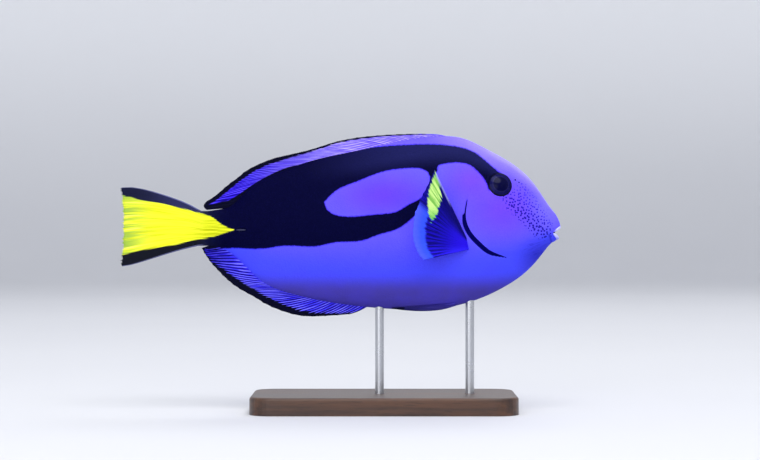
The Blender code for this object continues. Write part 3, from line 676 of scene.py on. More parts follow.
def paint_skin():
    coat = Finish("skin_satin", Roughness=0.45, Specular_IOR_Level=0.03,
                  Specular_Tint=BLUE_GLOSS)
    height, cloud, grain = coat.stored("height"), coat.noise(9.0), coat.noise(0.55, detail=3.0)
    grains = coat.step(grain, 0.45, 0.75)
    # Painted highlight: the forehead is painted paler, where light from above falls on it.
    forehead_highlight = coat.mask(coat.step(height, 0.84, 0.97), coat.step(coat.x, 36.0, 62.0),
                         coat.step(coat.x, 101.0, 84.0))
    # Painted highlight: a pale rim light painted along the ridge of the forehead and snout.
    rim = coat.mask(coat.step(height, 0.94, 1.0), coat.step(coat.x, 54.0, 76.0),
                    coat.step(coat.x, 104.0, 98.5), 0.55)
    blue = coat.layers(
        tone(70, 76, 250),
        (coat.step(height, 0.20, 0.50), (98, 85, 250)),
        (coat.step(height, 0.60, 0.95), (104, 88, 246)),
        (coat.blob((74, 92), (25, 20)), (106, 66, 246)),
        (coat.blob((60, 104), (18, 14)), (110, 70, 246)),
        (coat.blob((96, 97), (14, 18)), (116, 106, 252)),
        (coat.blob((92, 70), (16, 12)), (44, 48, 196)),
        (coat.blob((20, 98), (32, 15)), (98, 62, 242)),
        (forehead_highlight, (134, 116, 236)),
        (rim, (182, 174, 248)),
        # Painted shade, partly the fish's own countershading: darker under the belly.
        (coat.step(coat.z, 64.0, 54.0), (72, 63, 164)),
        (coat.mask(coat.step(cloud, 0.35, 0.75), 0.16), (74, 64, 236)),
        (coat.mask(grains, 0.16), (52, 44, 214)),
        (jaw_streaks_and_fold_shade(coat), (34, 30, 176)))
    band = coat.math("ADD", coat.stored("band"), coat.swing(coat.noise(1.1, detail=3.0), 0.7))
    blue = coat.layers(speckle(coat, blue),
                       (coat.mask(coat.step(band, -0.75, 0.0), 0.75), (34, 14, 196)))
    # Painted light: the black palette is painted lighter along its top, as if lit from above.
    painted_light_on_top = coat.mask(coat.step(height, 0.80, 0.91), coat.step(coat.x, -20.0, 35.0), 0.85)
    black = coat.layers(tone(2, 2, 40), (painted_light_on_top, (26, 28, 82)), (coat.mask(grains, 0.4), (10, 10, 62)),
                        (coat.step(coat.x, -52.0, -63.0), CAUDAL_BLACK))
    yellow, wedge, _ = tail_pattern(coat)
    colour = coat.mix(coat.step(band, -0.16, 0.16), blue, black)
    # Painted shade darkens the gill slit.
    colour = coat.layers(coat.mix(coat.step(wedge, -0.25, 0.25), colour, yellow),
                         (coat.step(coat.stored("slit"), 0.1, 0.5), (3, 4, 96)),
                         (coat.step(coat.stored("to_eye"), 0.35, 0.0), (4, 4, 40)))
    coat.bump((coat.cells(0.75, randomness=0.75), 0.09), (grain, 0.06), (cloud, 0.18))
    return coat.done(colour, coat.spread(grain, 0.42, 0.54))


def tail_pattern(coat):
    """The tail's yellow, how far inside the yellow wedge a point is, and the streaks."""
    along, fine, broad = coat.stored("along"), coat.streaks(46.0, 2.0), coat.streaks(34.0, 1.5)
    root = coat.mask(coat.step(coat.x, -70.0, -56.0), coat.step(fine, 0.62, 0.40))
    green = coat.mask(coat.step(along, 0.62, 1.0), coat.step(broad, 0.40, 0.60), 0.9)
    pale = coat.mask(coat.step(along, 0.60, 0.95), coat.step(broad, 0.44, 0.34), 0.3)
    yellow = coat.layers(tone(214, 216, 18), (coat.step(fine, 0.34, 0.60), (240, 246, 50)),
                         (root, (176, 184, 12)), (green, (136, 176, 70)), (pale, (246, 250, 170)))
    return yellow, coat.math("ADD", coat.stored("wedge"), coat.swing(fine, 2.2)), fine


def jaw_streaks_and_fold_shade(coat):
    """Fine dark creases that run back and down from the mouth, and painted shade in the fold at its
    corner.
    """
    run = coat.math("MULTIPLY_ADD", coat.z, 0.07, coat.math("MULTIPLY", coat.x, 0.2))
    rise = coat.math("MULTIPLY_ADD", coat.x, -0.65, coat.math("MULTIPLY", coat.z, 2.0))
    lines = coat.step(coat.noise(1.0, coat.vector(run, rise), detail=3.0), 0.48, 0.72)
    streaks = coat.mask(lines, coat.blob((90, 74), (12, 7)), 0.85)
    # The fold at the mouth's corner is darkened with painted shade.
    return coat.math("MAXIMUM", streaks, coat.mask(coat.step(coat.stored("fold"), 0.8, 0.1), 0.6))


def speckle(coat, colour):
    """Small dark dots between the eye and the mouth, fewer and finer up the snout."""
    dots = coat.cells(1.35, coat.vector(coat.x, coat.z), randomness=0.9, flat=True)
    zone = coat.step(coat.stored("speckled"), -0.5, 4.0)
    up_snout = coat.math("MULTIPLY_ADD", coat.z, 0.777, coat.math("MULTIPLY", coat.x, 0.63))
    strong = coat.step(up_snout, 131.0, 119.0)
    most = coat.math("MULTIPLY_ADD", strong, 0.09, 0.13)
    size = coat.math("MULTIPLY", coat.math("ADD", zone, coat.noise(3.0)), most)
    dots = coat.step(coat.math("SUBTRACT", dots, size), 0.10, -0.02)
    ink = coat.mix(strong, tone(44, 24, 190), tone(18, 6, 130))
    return coat.mix(coat.mask(dots, coat.step(zone, 0.0, 0.3), 0.9), colour, ink)


skin_finish = paint_skin()
# Painted shade for the insides of the mouth and nostrils.
hollow_shade_finish = Finish("hollow_painted_shade", Roughness=0.8,
                      Specular_IOR_Level=0.1).done(tone(36, 18, 44))
print("skin nodes:", len(skin_finish.node_tree.nodes))

# %% [markdown]
# ## The mouth and the nostrils
# A tang has a small mouth at the very tip of its snout, here a little open. A wedge cuts the
# gape and four small balls cut the nostrils; a Boolean is the plain tool for holes. The
# cutters carry a dark second material, painted shade for the holes' insides, and the cut
# faces keep it.

# %% Cut the mouth and the nostrils
MOUTH_CORNER = (0.0962, 0.0812)
GAPE_REST = [(0.0988, 0.0793), (0.0996, 0.0770), (0.1040, 0.0760), (0.1040, 0.0850)]
GAPE_HALF_WIDTH = 0.0100
NOSTRILS = [(0.0793, 0.1048, 0.00045), (0.0810, 0.1037, 0.00033)]
NOSTRIL_DEPTH = 0.0008


def cutter(name, work):
    bmesh.ops.recalc_face_normals(work, faces=work.faces)
    for face in work.faces:
        face.material_index = 1
    mesh = bpy.data.meshes.new(name)
    work.to_mesh(mesh)
    work.free()
    for finish in (skin_finish, hollow_shade_finish):
        mesh.materials.append(finish)
    return new_object(name, mesh)


def gape_cutter():
    work = bmesh.new()
    outline = [MOUTH_CORNER] + GAPE_REST
    face = work.faces.new([work.verts.new((x, -GAPE_HALF_WIDTH, z)) for x, z in outline])
    grown = bmesh.ops.extrude_face_region(work, geom=[face])["geom"]
    moved = [part for part in grown if isinstance(part, bmesh.types.BMVert)]
    bmesh.ops.translate(work, verts=moved, vec=(0, 2 * GAPE_HALF_WIDTH, 0))
    return cutter("gape", work)


def nostril_cutter(x, z, radius, side):
    work = bmesh.new()
    point, normal = flank(x, z, side)
    turn = Vector(normal).to_track_quat("Z", "Y").to_matrix().to_4x4()
    place = Matrix.Translation(point) @ turn @ Matrix.Diagonal((radius, radius, NOSTRIL_DEPTH, 1))
    bmesh.ops.create_uvsphere(work, u_segments=16, v_segments=10, radius=1.0, matrix=place)
    return cutter("nostril", work)


def plain_mesh(item):
    """The object's mesh with its modifiers worked in; the modifiers are then gone."""
    bpy.context.view_layer.update()
    graph = bpy.context.evaluated_depsgraph_get()
    mesh = bpy.data.meshes.new_from_object(item.evaluated_get(graph))
    item.modifiers.clear()
    item.data = mesh
    return mesh


def cut(item, cutters):
    for tool in cutters:
        change = item.modifiers.new(tool.name, "BOOLEAN")
        change.operation, change.solver, change.object = "DIFFERENCE", "EXACT", tool
    mesh = plain_mesh(item)
    for tool in cutters:
        bpy.data.objects.remove(tool, do_unlink=True)
    return mesh


for finish in (skin_finish, hollow_shade_finish):
    skin_item.data.materials.append(finish)
cutters = [gape_cutter()]
cutters += [nostril_cutter(*place, side) for place in NOSTRILS for side in (-1, 1)]
skin_mesh = cut(skin_item, cutters)
print("skin faces after the cuts:", len(skin_mesh.polygons))

# %% [markdown]
# The distances are stored last, because they follow from each point's place alone: so the
# points that the Boolean added have them too.

# %% Store the skin's distances
places = points_of(skin_mesh)
side_view = places[:, [0, 2]]
body_height = np.clip((places[:, 2] - belly_z(places[:, 0]))
                      / (back_z(places[:, 0]) - belly_z(places[:, 0])), 0, 1)
seen_places = as_seen(places)
in_band = signed_distance(seen_places, band_outline)
in_oval = signed_distance(seen_places, oval_outline)
store(skin_mesh, "height", body_height)
store(skin_mesh, "band", np.minimum(in_band, -in_oval))
store(skin_mesh, "wedge", signed_distance(seen_places, wedge_outline))
store(skin_mesh, "speckled", signed_distance(seen_places, speckled_outline))
tail_low, tail_high = tail_reach(places[:, 0])
store(skin_mesh, "across", np.clip((places[:, 2] - tail_low) / (tail_high - tail_low), -0.2, 1.2))
store(skin_mesh, "along", (CAUDAL_ROOT_X - places[:, 0]) / (CAUDAL_ROOT_X - CAUDAL_TIP_X))
store(skin_mesh, "slit", gill_slit(side_view)[0])
store(skin_mesh, "fold", fold_distance(side_view) * MM)
store(skin_mesh, "to_eye", (eye_distance(places) - eye_seen) * MM)
print("points in the black palette:", int((np.minimum(in_band, -in_oval) > 0).sum()))

# %% [markdown]
# ## A node tree that sweeps tubes along paths
# Fin rays and lips are both the same thing: a tapered tube along a path. Geometry
# Nodes make them all at once: edges become curves, a circle is swept along them, and the
# stored "size" of each point sets its radius. A membrane is joined to its rays at the end.

# %% The sweep tree
def sweep_tree():
    tree = bpy.data.node_groups.new("sweep along paths", "GeometryNodeTree")
    for name, kind in (("Paths", "Geometry"), ("Sides", "Int"), ("Thickness", "Float"),
                       ("Membrane", "Object"), ("Finish", "Material")):
        tree.interface.new_socket(name, in_out="INPUT", socket_type="NodeSocket" + kind)
    tree.interface.new_socket("Geometry", in_out="OUTPUT", socket_type="NodeSocketGeometry")
    add, link = tree.nodes.new, tree.links.new
    given, result = add("NodeGroupInput"), add("NodeGroupOutput")
    line = add("GeometryNodeMeshToCurve")
    size = add("GeometryNodeInputNamedAttribute")
    size.inputs["Name"].default_value = "size"
    circle = add("GeometryNodeCurvePrimitiveCircle")
    circle.inputs["Radius"].default_value = 1.0
    scale = add("ShaderNodeMath")
    scale.operation = "MULTIPLY"
    sweep = add("GeometryNodeCurveToMesh")
    sweep.inputs["Fill Caps"].default_value = True
    sheet, join = add("GeometryNodeObjectInfo"), add("GeometryNodeJoinGeometry")
    smooth, real = add("GeometryNodeSetShadeSmooth"), add("GeometryNodeRealizeInstances")
    finish = add("GeometryNodeSetMaterial")
    link(given.outputs["Paths"], line.inputs["Mesh"])
    link(line.outputs["Curve"], sweep.inputs["Curve"])
    link(given.outputs["Sides"], circle.inputs["Resolution"])
    link(circle.outputs["Curve"], sweep.inputs["Profile Curve"])
    link(size.outputs["Attribute"], scale.inputs[0])
    link(given.outputs["Thickness"], scale.inputs[1])
    link(scale.outputs[0], sweep.inputs["Scale"])
    link(given.outputs["Membrane"], sheet.inputs["Object"])
    link(sweep.outputs["Mesh"], join.inputs[0])
    link(sheet.outputs["Geometry"], join.inputs[0])
    link(join.outputs[0], smooth.inputs["Geometry"])
    link(smooth.outputs[0], real.inputs[0])
    link(real.outputs[0], finish.inputs["Geometry"])
    link(given.outputs["Finish"], finish.inputs["Material"])
    link(finish.outputs[0], result.inputs[0])
    return tree


SWEEP = sweep_tree()


def swept(name, paths, finish, sides=8, membrane=None, **facts):
    """Tubes along paths. Each path is (points, sizes); facts hold one list of numbers a path."""
    points = np.concatenate([path for path, _ in paths])
    edges, start = [], 0
    for path, _ in paths:
        edges += [(start + i, start + i + 1) for i in range(len(path) - 1)]
        start += len(path)
    mesh = mesh_from(name, points, [], edges)
    store(mesh, "size", np.concatenate([sizes for _, sizes in paths]))
    for key, values in facts.items():
        store(mesh, key, np.concatenate(values))
    item = new_object(name, mesh)
    change = item.modifiers.new("sweep", "NODES")
    change.node_group = SWEEP
    values = {"Sides": sides, "Thickness": 1.0, "Membrane": membrane, "Finish": finish}
    for socket in SWEEP.interface.items_tree:
        if socket.in_out == "INPUT" and values.get(socket.name) is not None:
            change[socket.identifier] = values[socket.name]
    plain_mesh(item)
    if membrane:
        bpy.data.objects.remove(membrane, do_unlink=True)
    return item


print("sweep tree nodes:", len(SWEEP.nodes))

# %% [markdown]
# ## Lips
# The lips are the palest spots on the fish: a bright upper lip that ends in a small point,
# and a thinner lower one that curls down. Each is a tube round the snout, thickest in front
# and blue again at the corners. A flattened ball behind them lines the mouth, painted dark
# as painted shade.

# %% Make the lips
LIP_STEPS, LIP_BLUNT, LIP_SWELL = 33, 0.8, 0.7
LINING_MIDDLE, LINING_REACH = (0.0962, 0.0, 0.0811), (0.0015, 0.0031, 0.0017)
LINING_TURNS, LINING_RINGS = 32, 14
UPPER_LIP = {"corner": (0.0964, 0.0814), "front": (0.0996, 0.0835), "half_width": 0.0036,
             "thin": 0.00030, "thick": 0.00084}
LOWER_LIP = {"corner": (0.0964, 0.0808), "front": (0.0988, 0.0786), "half_width": 0.0034,
             "thin": 0.00034, "thick": 0.00080}


def lip(corner, front, half_width, thin, thick):
    turn = np.linspace(-math.pi / 2, math.pi / 2, LIP_STEPS)
    share = np.cos(turn)
    points = np.stack([blend(corner[0], front[0], share ** LIP_BLUNT), half_width * np.sin(turn),
                       blend(corner[1], front[1], share)], axis=1)
    return points, blend(thin, thick, share ** LIP_SWELL)


def paint_lips():
    coat = Finish("lip_satin", Roughness=0.38, Specular_IOR_Level=0.35)
    pale_tone = coat.mix(coat.noise(0.8), tone(164, 160, 242), tone(218, 218, 254))
    lower = coat.mask(coat.step(coat.z, 81.2, 80.5), coat.step(coat.x, 96.0, 97.2))
    pale = coat.math("MAXIMUM", lower, coat.step(coat.x, 96.6, 98.7))
    outer = coat.math("MAXIMUM", coat.step(coat.z, 83.3, 84.2), coat.step(coat.z, 79.2, 78.2))
    pale = coat.mask(pale, coat.math("SUBTRACT", 1.0, coat.mask(outer, 0.55)))
    coat.bump((coat.noise(0.25, coat.vector(coat.y, 0.0)), 0.06))
    return coat.done(coat.mix(pale, tone(92, 84, 240), pale_tone))


def make_lining():
    turn = np.linspace(0, 2 * math.pi, LINING_TURNS, endpoint=False)
    lean = np.linspace(0, math.pi, LINING_RINGS)[1:-1, None]
    ball = (np.cos(lean) + 0 * turn, np.sin(lean) * np.cos(turn), np.sin(lean) * np.sin(turn))
    rings = np.stack([LINING_MIDDLE[k] + LINING_REACH[k] * part for k, part in enumerate(ball)],
                     axis=-1)
    ends = [(LINING_MIDDLE[0] + way * LINING_REACH[0], 0.0, LINING_MIDDLE[2]) for way in (1, -1)]
    mesh = closed_tube("mouth_lining", rings, *ends)
    mesh.materials.append(hollow_shade_finish)
    return new_object("mouth_lining", mesh)


lips = swept("lips", [lip(**UPPER_LIP), lip(**LOWER_LIP)], paint_lips(), sides=14)
outward(lips.data)
mouth_lining = make_lining()
print("lip faces:", len(lips.data.polygons))

# %% [markdown]
# ## Eyes
# The eye is nearly all black: a wide pupil in a dark iris, under a clear domed cornea. A
# profile turned round the eye's axis gives the ball with its dome; the material rings it
# by the stored distance from the axis, and a glossy coat stands for the cornea.

# %% Make the eyes
EYE_TURNS, EYE_RINGS = 72, 36
CORNEA_RISE = 0.00035
CORNEA_SHARE = 0.62


def paint_eye():
    coat = Finish("eye_glossy", Roughness=0.30, Specular_IOR_Level=0.03, Coat_Weight=0.09,
                  Coat_Roughness=0.02)
    off = coat.stored("off_axis")
    threads = coat.noise(0.5, detail=3.0)
    iris = coat.mix(threads, tone(4, 4, 56), tone(10, 10, 80))
    ring = coat.mask(coat.step(off, 0.53, 0.56), coat.step(off, 0.61, 0.58), 0.18)
    coat.bump((threads, 0.02))
    return coat.done(coat.layers(iris, (coat.step(off, 0.56, 0.50), (1, 1, 48)),
                                 (ring, (60, 56, 92)), (coat.step(off, 0.74, 0.80), (3, 3, 30))))


def make_eye(name, side, finish):
    centre, normal = eye_place(side)
    turn = np.array(Vector(normal).to_track_quat("Z", "Y").to_matrix())
    lean = np.linspace(0, math.pi, EYE_RINGS + 2)[1:-1]
    off = np.sin(lean)
    rise = EYE_HALF_DEPTH * np.cos(lean)
    dome = CORNEA_RISE * np.clip(1 - (off / CORNEA_SHARE) ** 2, 0, 1) ** 1.5
    rise = rise + dome * (lean < math.pi / 2)
    round_axis = np.linspace(0, 2 * math.pi, EYE_TURNS, endpoint=False)
    rings = np.stack([EYE_RADIUS * off[:, None] * np.cos(round_axis),
                      EYE_RADIUS * off[:, None] * np.sin(round_axis),
                      rise[:, None] + 0 * round_axis], axis=-1) @ turn.T + centre
    top = centre + normal * (EYE_HALF_DEPTH + CORNEA_RISE)
    mesh = closed_tube(name, rings, top, centre - normal * EYE_HALF_DEPTH)
    store(mesh, "off_axis", np.concatenate([np.repeat(off, EYE_TURNS), [0, 0]]))
    mesh.materials.append(finish)
    return new_object(name, mesh)


eye_finish = paint_eye()
eyes = {side: make_eye("eyeball_" + word, side, eye_finish)
        for word, side in (("right", -1), ("left", 1))}
print("eye faces:", len(eyes[1].data.polygons))

# %% [markdown]
# ## Fins: a thin membrane over tapered rays
# A fin is a sheet held open by rays. Spines are single; soft rays fork towards the edge,
# and the membrane hangs back a little between their tips, so the edge looks ragged. Both
# come from one rule, place(across, along), which says where a point of the fin lies. The
# membrane is a closed sheet, and the node tree sweeps the rays.

# %% The fin maker
RAY_STEPS = 14
FORK_SPREAD = 0.25
COLUMNS_A_RAY = 12


def membrane(name, place, rays, rows, thickness, ends):
    """A closed thin sheet: two faces half the thickness off the middle, joined at the rim."""
    columns = (rays - 1) * COLUMNS_A_RAY + 1
    across = np.linspace(0, 1, columns)[:, None]
    along = np.linspace(0, 1, rows + 1)[None, :] * ends(across)
    middle = place(across, along)
    normal = np.cross(np.gradient(middle, axis=0), np.gradient(middle, axis=1))
    normal /= np.maximum(np.linalg.norm(normal, axis=-1, keepdims=True), 1e-12)
    half = thickness(along, across)[..., None] / 2
    both = np.concatenate([(middle + normal * half).reshape(-1, 3),
                           (middle - normal * half).reshape(-1, 3)])
    count = columns * (rows + 1)
    faces = grid_faces(columns, rows + 1, False)
    faces += [tuple(count + i for i in reversed(face)) for face in faces]
    numbers = np.arange(count).reshape(columns, rows + 1)
    rim = np.concatenate([numbers[:, 0], numbers[-1, 1:], numbers[-2::-1, -1],
                          numbers[0, -2:0:-1]])
    for i, j in zip(rim, np.roll(rim, -1)):
        faces.append((int(i), int(j), int(j) + count, int(i) + count))
    mesh = mesh_from(name, both, faces)
    outward(mesh)
    store(mesh, "across", np.tile((across + 0 * along).ravel(), 2))
    store(mesh, "along", np.tile(along.ravel(), 2))
    store(mesh, "on_ray", np.zeros(2 * count))
    return new_object(name, mesh)


def ray_lines(rays, spines, ends, radius, forks):
    """The rays' lines as (across, along, size): spines are single and soft rays fork."""
    lines = []
    gap = 1 / (rays - 1)
    for i in range(rays):
        at, tip = i * gap, float(ends(np.array(i * gap)))
        spans = [(0.0, tip, at, at)]
        for fork in forks if i >= spines else ():
            start = fork * tip
            step = FORK_SPREAD * gap / (forks.index(fork) + 1)
            new = []
            for low, high, first, last in spans:
                if high < tip:
                    new.append((low, high, first, last))
                    continue
                middle = blend(first, last, (start - low) / (high - low))
                new += [(low, start, first, middle), (start, tip, middle, last - step),
                        (start, tip, middle, last + step)]
            spans = new
        for low, high, first, last in spans:
            if high == tip:
                high = float(ends(np.clip(last, 0, 1)))
            along = np.linspace(low, high, max(3, int(RAY_STEPS * (high - low) / tip)))
            across = np.clip(blend(first, last, (along - low) / (high - low)), 0, 1)
            lines.append((across, along, radius(along / tip, i < spines)))
    return lines


def make_fin(name, finish, place, rays, rows, thickness, ends, radius, spines=0, forks=()):
    sheet = membrane(name + "_sheet", place, rays, rows, thickness, ends)
    lines = ray_lines(rays, spines, ends, radius, forks)
    paths = [(place(across, along), sizes) for across, along, sizes in lines]
    return swept(name, paths, finish, sides=6, membrane=sheet,
                 across=[line[0] for line in lines], along=[line[1] for line in lines],
                 on_ray=[np.ones(len(line[0])) for line in lines])


def ragged_ends(rays, notch, uneven, seed, teeth=1):
    """How far out the fin reaches at each place across: full on a ray, short between two."""
    chance = np.random.default_rng(seed)
    count = (rays - 1) * teeth + 1
    tips = 1 - uneven * chance.random(count)

    def ends(across):
        at = across * (count - 1) + (teeth - 1) / 2
        tip = np.interp(at, np.arange(count), tips)
        return tip * (1 - notch * np.abs(np.sin(math.pi * at)) ** 0.8)

    return ends


print("columns of membrane between two rays:", COLUMNS_A_RAY)

# %% [markdown]
# ## Fin finish
# These fins share one finish: a base colour that shifts along the fin, a comb of pale and
# dark streaks that run with the rays, the pale ones partly painted glints, and a marking cut
# at its stored distance. The streaks wobble the marking's edge, as on the fish, where black
# ink creeps out along each ray.

# %% Fin material
def paint_fin(name, front, rear, mark_tone, rays, wobble, streak=1.0):
    """front and rear are (x, base tone, pale streak, dark streak); the pale streaks are partly
    painted glints.
    """
    coat = Finish(name, Roughness=0.45, Specular_IOR_Level=0.06, Specular_Tint=BLUE_GLOSS)
    across, along = coat.stored("across"), coat.stored("along")
    turn = coat.math("MULTIPLY", across, 2 * math.pi * (rays - 1))
    fine = coat.streaks((rays - 1) * 2.4, 1.6)
    comb = coat.math("COSINE", coat.math("MULTIPLY_ADD", fine, 5.0,
                                         coat.math("MULTIPLY", turn, 2.0)))
    to_front = coat.step(coat.x, rear[0], front[0])
    base, light, dark = (coat.mix(to_front, rear[k], front[k]) for k in (1, 2, 3))
    # Painted highlight: the pale lines are partly painted glints along the rays.
    pale_lines_and_glints = coat.mask(coat.step(comb, 0.35, 0.95), coat.step(fine, 0.36, 0.56), streak)
    colour = coat.mix(pale_lines_and_glints, base, light)
    dark_lines = coat.mask(coat.step(comb, -0.1, -0.9), coat.step(along, 0.02, 0.20), streak)
    colour = coat.mix(dark_lines, colour, dark)
    uneven = coat.math("MULTIPLY_ADD", comb, -0.12 * wobble, coat.swing(fine, -wobble))
    # The dark root is the palette's black running onto the fin, with painted shade along the root.
    mark = coat.math("MAXIMUM", coat.math("ADD", coat.stored("mark"), uneven),
                     coat.stored("dark_root"))
    colour = coat.mix(coat.step(mark, -0.20, 0.20), colour, mark_tone)
    coat.bump((comb, -0.05), (fine, 0.05))
    return coat.done(colour)


print("fin finish ready")

# %% [markdown]
# ## Dorsal and anal fins
# Both run along the middle line and are folded low, so their rays lie swept back, the more
# the nearer the tail. The root follows the back or belly, sunk a little into the skin, and
# the outer edge is the solids' own. The black margin is widest towards the tail, and the
# dorsal fin's root is dark where the palette runs up onto it, while a thin strip of painted
# shade runs along the root ahead of it.

# %% Make the dorsal and anal fins
DORSAL_FRONT_X, DORSAL_REAR_X, DORSAL_RAYS, DORSAL_SPINES = 0.0500, -0.0495, 29, 9
DORSAL_EDGE = [
    (0.0480, 0.1250), (0.0400, 0.1256), (0.0291, 0.1257), (0.0130, 0.1248), (-0.0010, 0.1226),
    (-0.0150, 0.1184), (-0.0302, 0.1148), (-0.0414, 0.1100), (-0.0483, 0.1050),
    (-0.0564, 0.0983), (-0.0590, 0.0963), (-0.0613, 0.0949), (-0.0623, 0.0936),
    (-0.0620, 0.0922), (-0.0606, 0.0914),
]
ANAL_FRONT_X, ANAL_REAR_X, ANAL_RAYS, ANAL_SPINES = 0.0127, -0.0572, 22, 3
ANAL_EDGE = [
    (0.0113, 0.0449), (0.0041, 0.0439), (-0.0064, 0.0431), (-0.0182, 0.0432), (-0.0314, 0.0473),
    (-0.0430, 0.0537), (-0.0525, 0.0603), (-0.0570, 0.0651), (-0.0606, 0.0696), (-0.0629, 0.0739),
]
DORSAL_MARGIN = [(-0.064, 1.9), (-0.054, 2.3), (-0.040, 2.4), (-0.028, 2.1), (-0.018, 1.3),
                 (-0.008, 1.1), (0.010, 0.75), (0.028, 0.45), (0.040, 0.1), (0.046, -0.5)]
ANAL_MARGIN = [(-0.064, 0.8), (-0.058, 1.3), (-0.053, 2.9), (-0.045, 3.6), (-0.028, 3.6),
               (-0.018, 3.0), (-0.010, 1.8), (0.000, 1.0), (0.013, 0.5)]
# Top of the dorsal fin's dark root: the palette's black on the fin, and painted shade along the
# root.
DORSAL_DARK_ROOT = [(-0.064, 91.6), (-0.0566, 92.6), (-0.0520, 94.9), (-0.0474, 97.5),
                    (-0.0427, 100.7), (-0.0381, 103.8), (-0.0335, 106.4), (-0.0288, 108.7),
                    (-0.0200, 111.6), (-0.0100, 112.0), (0.0450, 112.0)]
RAY_BOW, SUNK = 0.05, 0.0009
RIM_POINTS, ROOT_POINTS = 160, 24
NO_DARK_ROOT = -9.0


def path_at(points):
    """A smooth path through (x, z) points, as a function of a share of its length."""
    flat = np.array(points)
    lengths = np.concatenate([[0], np.cumsum(np.linalg.norm(np.diff(flat, axis=0), axis=1))])
    shares = lengths / lengths[-1]
    in_x, in_z = (spline_through(list(zip(shares, flat[:, k]))) for k in (0, 1))
    return lambda share: (in_x(share), in_z(share))


def upright_place(front_x, rear_x, line_z, way, edge, first, folding):
    """The rule of a fin in the middle plane; way is +1 above the back and -1 below."""
    edge_at = path_at(edge)

    def place(across, along):
        across, along = np.broadcast_arrays(across, along)
        root_x = blend(front_x, rear_x, across)
        root_z = line_z(root_x) - way * SUNK
        edge_x, edge_z = edge_at(1 - (1 - first) * (1 - across) ** folding)
        bow = RAY_BOW * np.sin(math.pi * along) * np.hypot(edge_x - root_x, edge_z - root_z)
        return np.stack([blend(root_x, edge_x, along), 0 * along,
                         blend(root_z, edge_z, along) + way * bow * (1 - across)], axis=-1)

    return place


def fin_thickness(root, edge):
    return lambda along, across: blend(root, edge, smooth_step(along, 0.0, 0.85))


def fin_radius(root, tip, spine=1.15):
    def radius(share, is_spine):
        return blend(root, tip, share ** 0.8) * (spine if is_spine else 1.0)
    return radius


def mark_margin(mesh, margin, edge, rear_root, dark_root=None):
    """Stores how far inside the dark margin and the dark root each point is, in millimetres; the
    dark root is the palette's black on the fin with painted shade along the root.
    """
    places = points_of(mesh)
    rim = np.stack(path_at(edge)(np.linspace(0, 1, RIM_POINTS)), axis=1)
    rim = np.concatenate([rim, np.linspace(edge[-1], rear_root, ROOT_POINTS)])
    flat = places[:, None, [0, 2]] - rim[None, :, :]
    to_edge = np.sqrt((flat ** 2).sum(-1)).min(1) * MM
    store(mesh, "mark", np.interp(places[:, 0], *np.transpose(margin)) - to_edge)
    if dark_root:
        height = spline_through(dark_root)(places[:, 0])
        store(mesh, "dark_root", height - places[:, 2] * MM)
    else:
        store(mesh, "dark_root", np.full(len(places), NO_DARK_ROOT))


dorsal_finish = paint_fin(
    "fin_dorsal_satin", (10.0, tone(132, 110, 246), tone(208, 194, 252), tone(82, 62, 216)),
    (-48.0, tone(50, 26, 216), tone(92, 74, 250), tone(14, 2, 132)), tone(2, 2, 26),
    DORSAL_RAYS, 1.3)
anal_finish = paint_fin(
    "fin_anal_satin", (-44.0, tone(50, 40, 230), tone(124, 120, 255), tone(10, 1, 104)),
    (-61.0, tone(18, 6, 140), tone(60, 50, 216), tone(4, 1, 76)), tone(2, 2, 26),
    ANAL_RAYS, 3.4)
dorsal = make_fin(
    "fin_dorsal", dorsal_finish,
    upright_place(DORSAL_FRONT_X, DORSAL_REAR_X, back_z, 1, DORSAL_EDGE, 0.075, 1.15),
    DORSAL_RAYS, 18, fin_thickness(0.0010, 0.00022), ragged_ends(DORSAL_RAYS, 0.015, 0.03, 3),
    fin_radius(0.00050, 0.00013), DORSAL_SPINES, (0.35, 0.65))
anal = make_fin(
    "fin_anal", anal_finish,
    upright_place(ANAL_FRONT_X, ANAL_REAR_X, belly_z, -1, ANAL_EDGE, 0.09, 1.5), ANAL_RAYS, 18,
    fin_thickness(0.0010, 0.00022), ragged_ends(ANAL_RAYS, 0.02, 0.03, 5),
    fin_radius(0.00050, 0.00013), ANAL_SPINES, (0.35, 0.65))
mark_margin(dorsal.data, DORSAL_MARGIN, DORSAL_EDGE, (DORSAL_REAR_X, back_z(DORSAL_REAR_X)),
            DORSAL_DARK_ROOT)
mark_margin(anal.data, ANAL_MARGIN, ANAL_EDGE, (ANAL_REAR_X, belly_z(ANAL_REAR_X)))
print("dorsal faces:", len(dorsal.data.polygons), "anal faces:", len(anal.data.polygons))

# %% [markdown]
# ## Tail fin
# The tail is a yellow fan between black upper and lower bands. Its seventeen main rays fork
# twice, so that the rear edge is finely ribbed and ragged. The fan grows out of the tail
# stalk: its root starts inside the skin.

# %% Make the tail fin
CAUDAL_RAYS = 17
CAUDAL_ROOT, CAUDAL_MIDDLE, CAUDAL_EDGE = 0.0036, 0.0010, 0.00022
CAUDAL_FLAT_X = -0.0720


def caudal_place(across, along):
    across, along = np.broadcast_arrays(across, along)
    tip_x = CAUDAL_TIP_X + CAUDAL_HOLLOW * (1 - (2 * across - 1) ** 2)
    x = blend(CAUDAL_ROOT_X, tip_x, along)
    bottom, top = tail_reach(x)
    return np.stack([x, 0 * x, blend(bottom, top, across)], axis=-1)


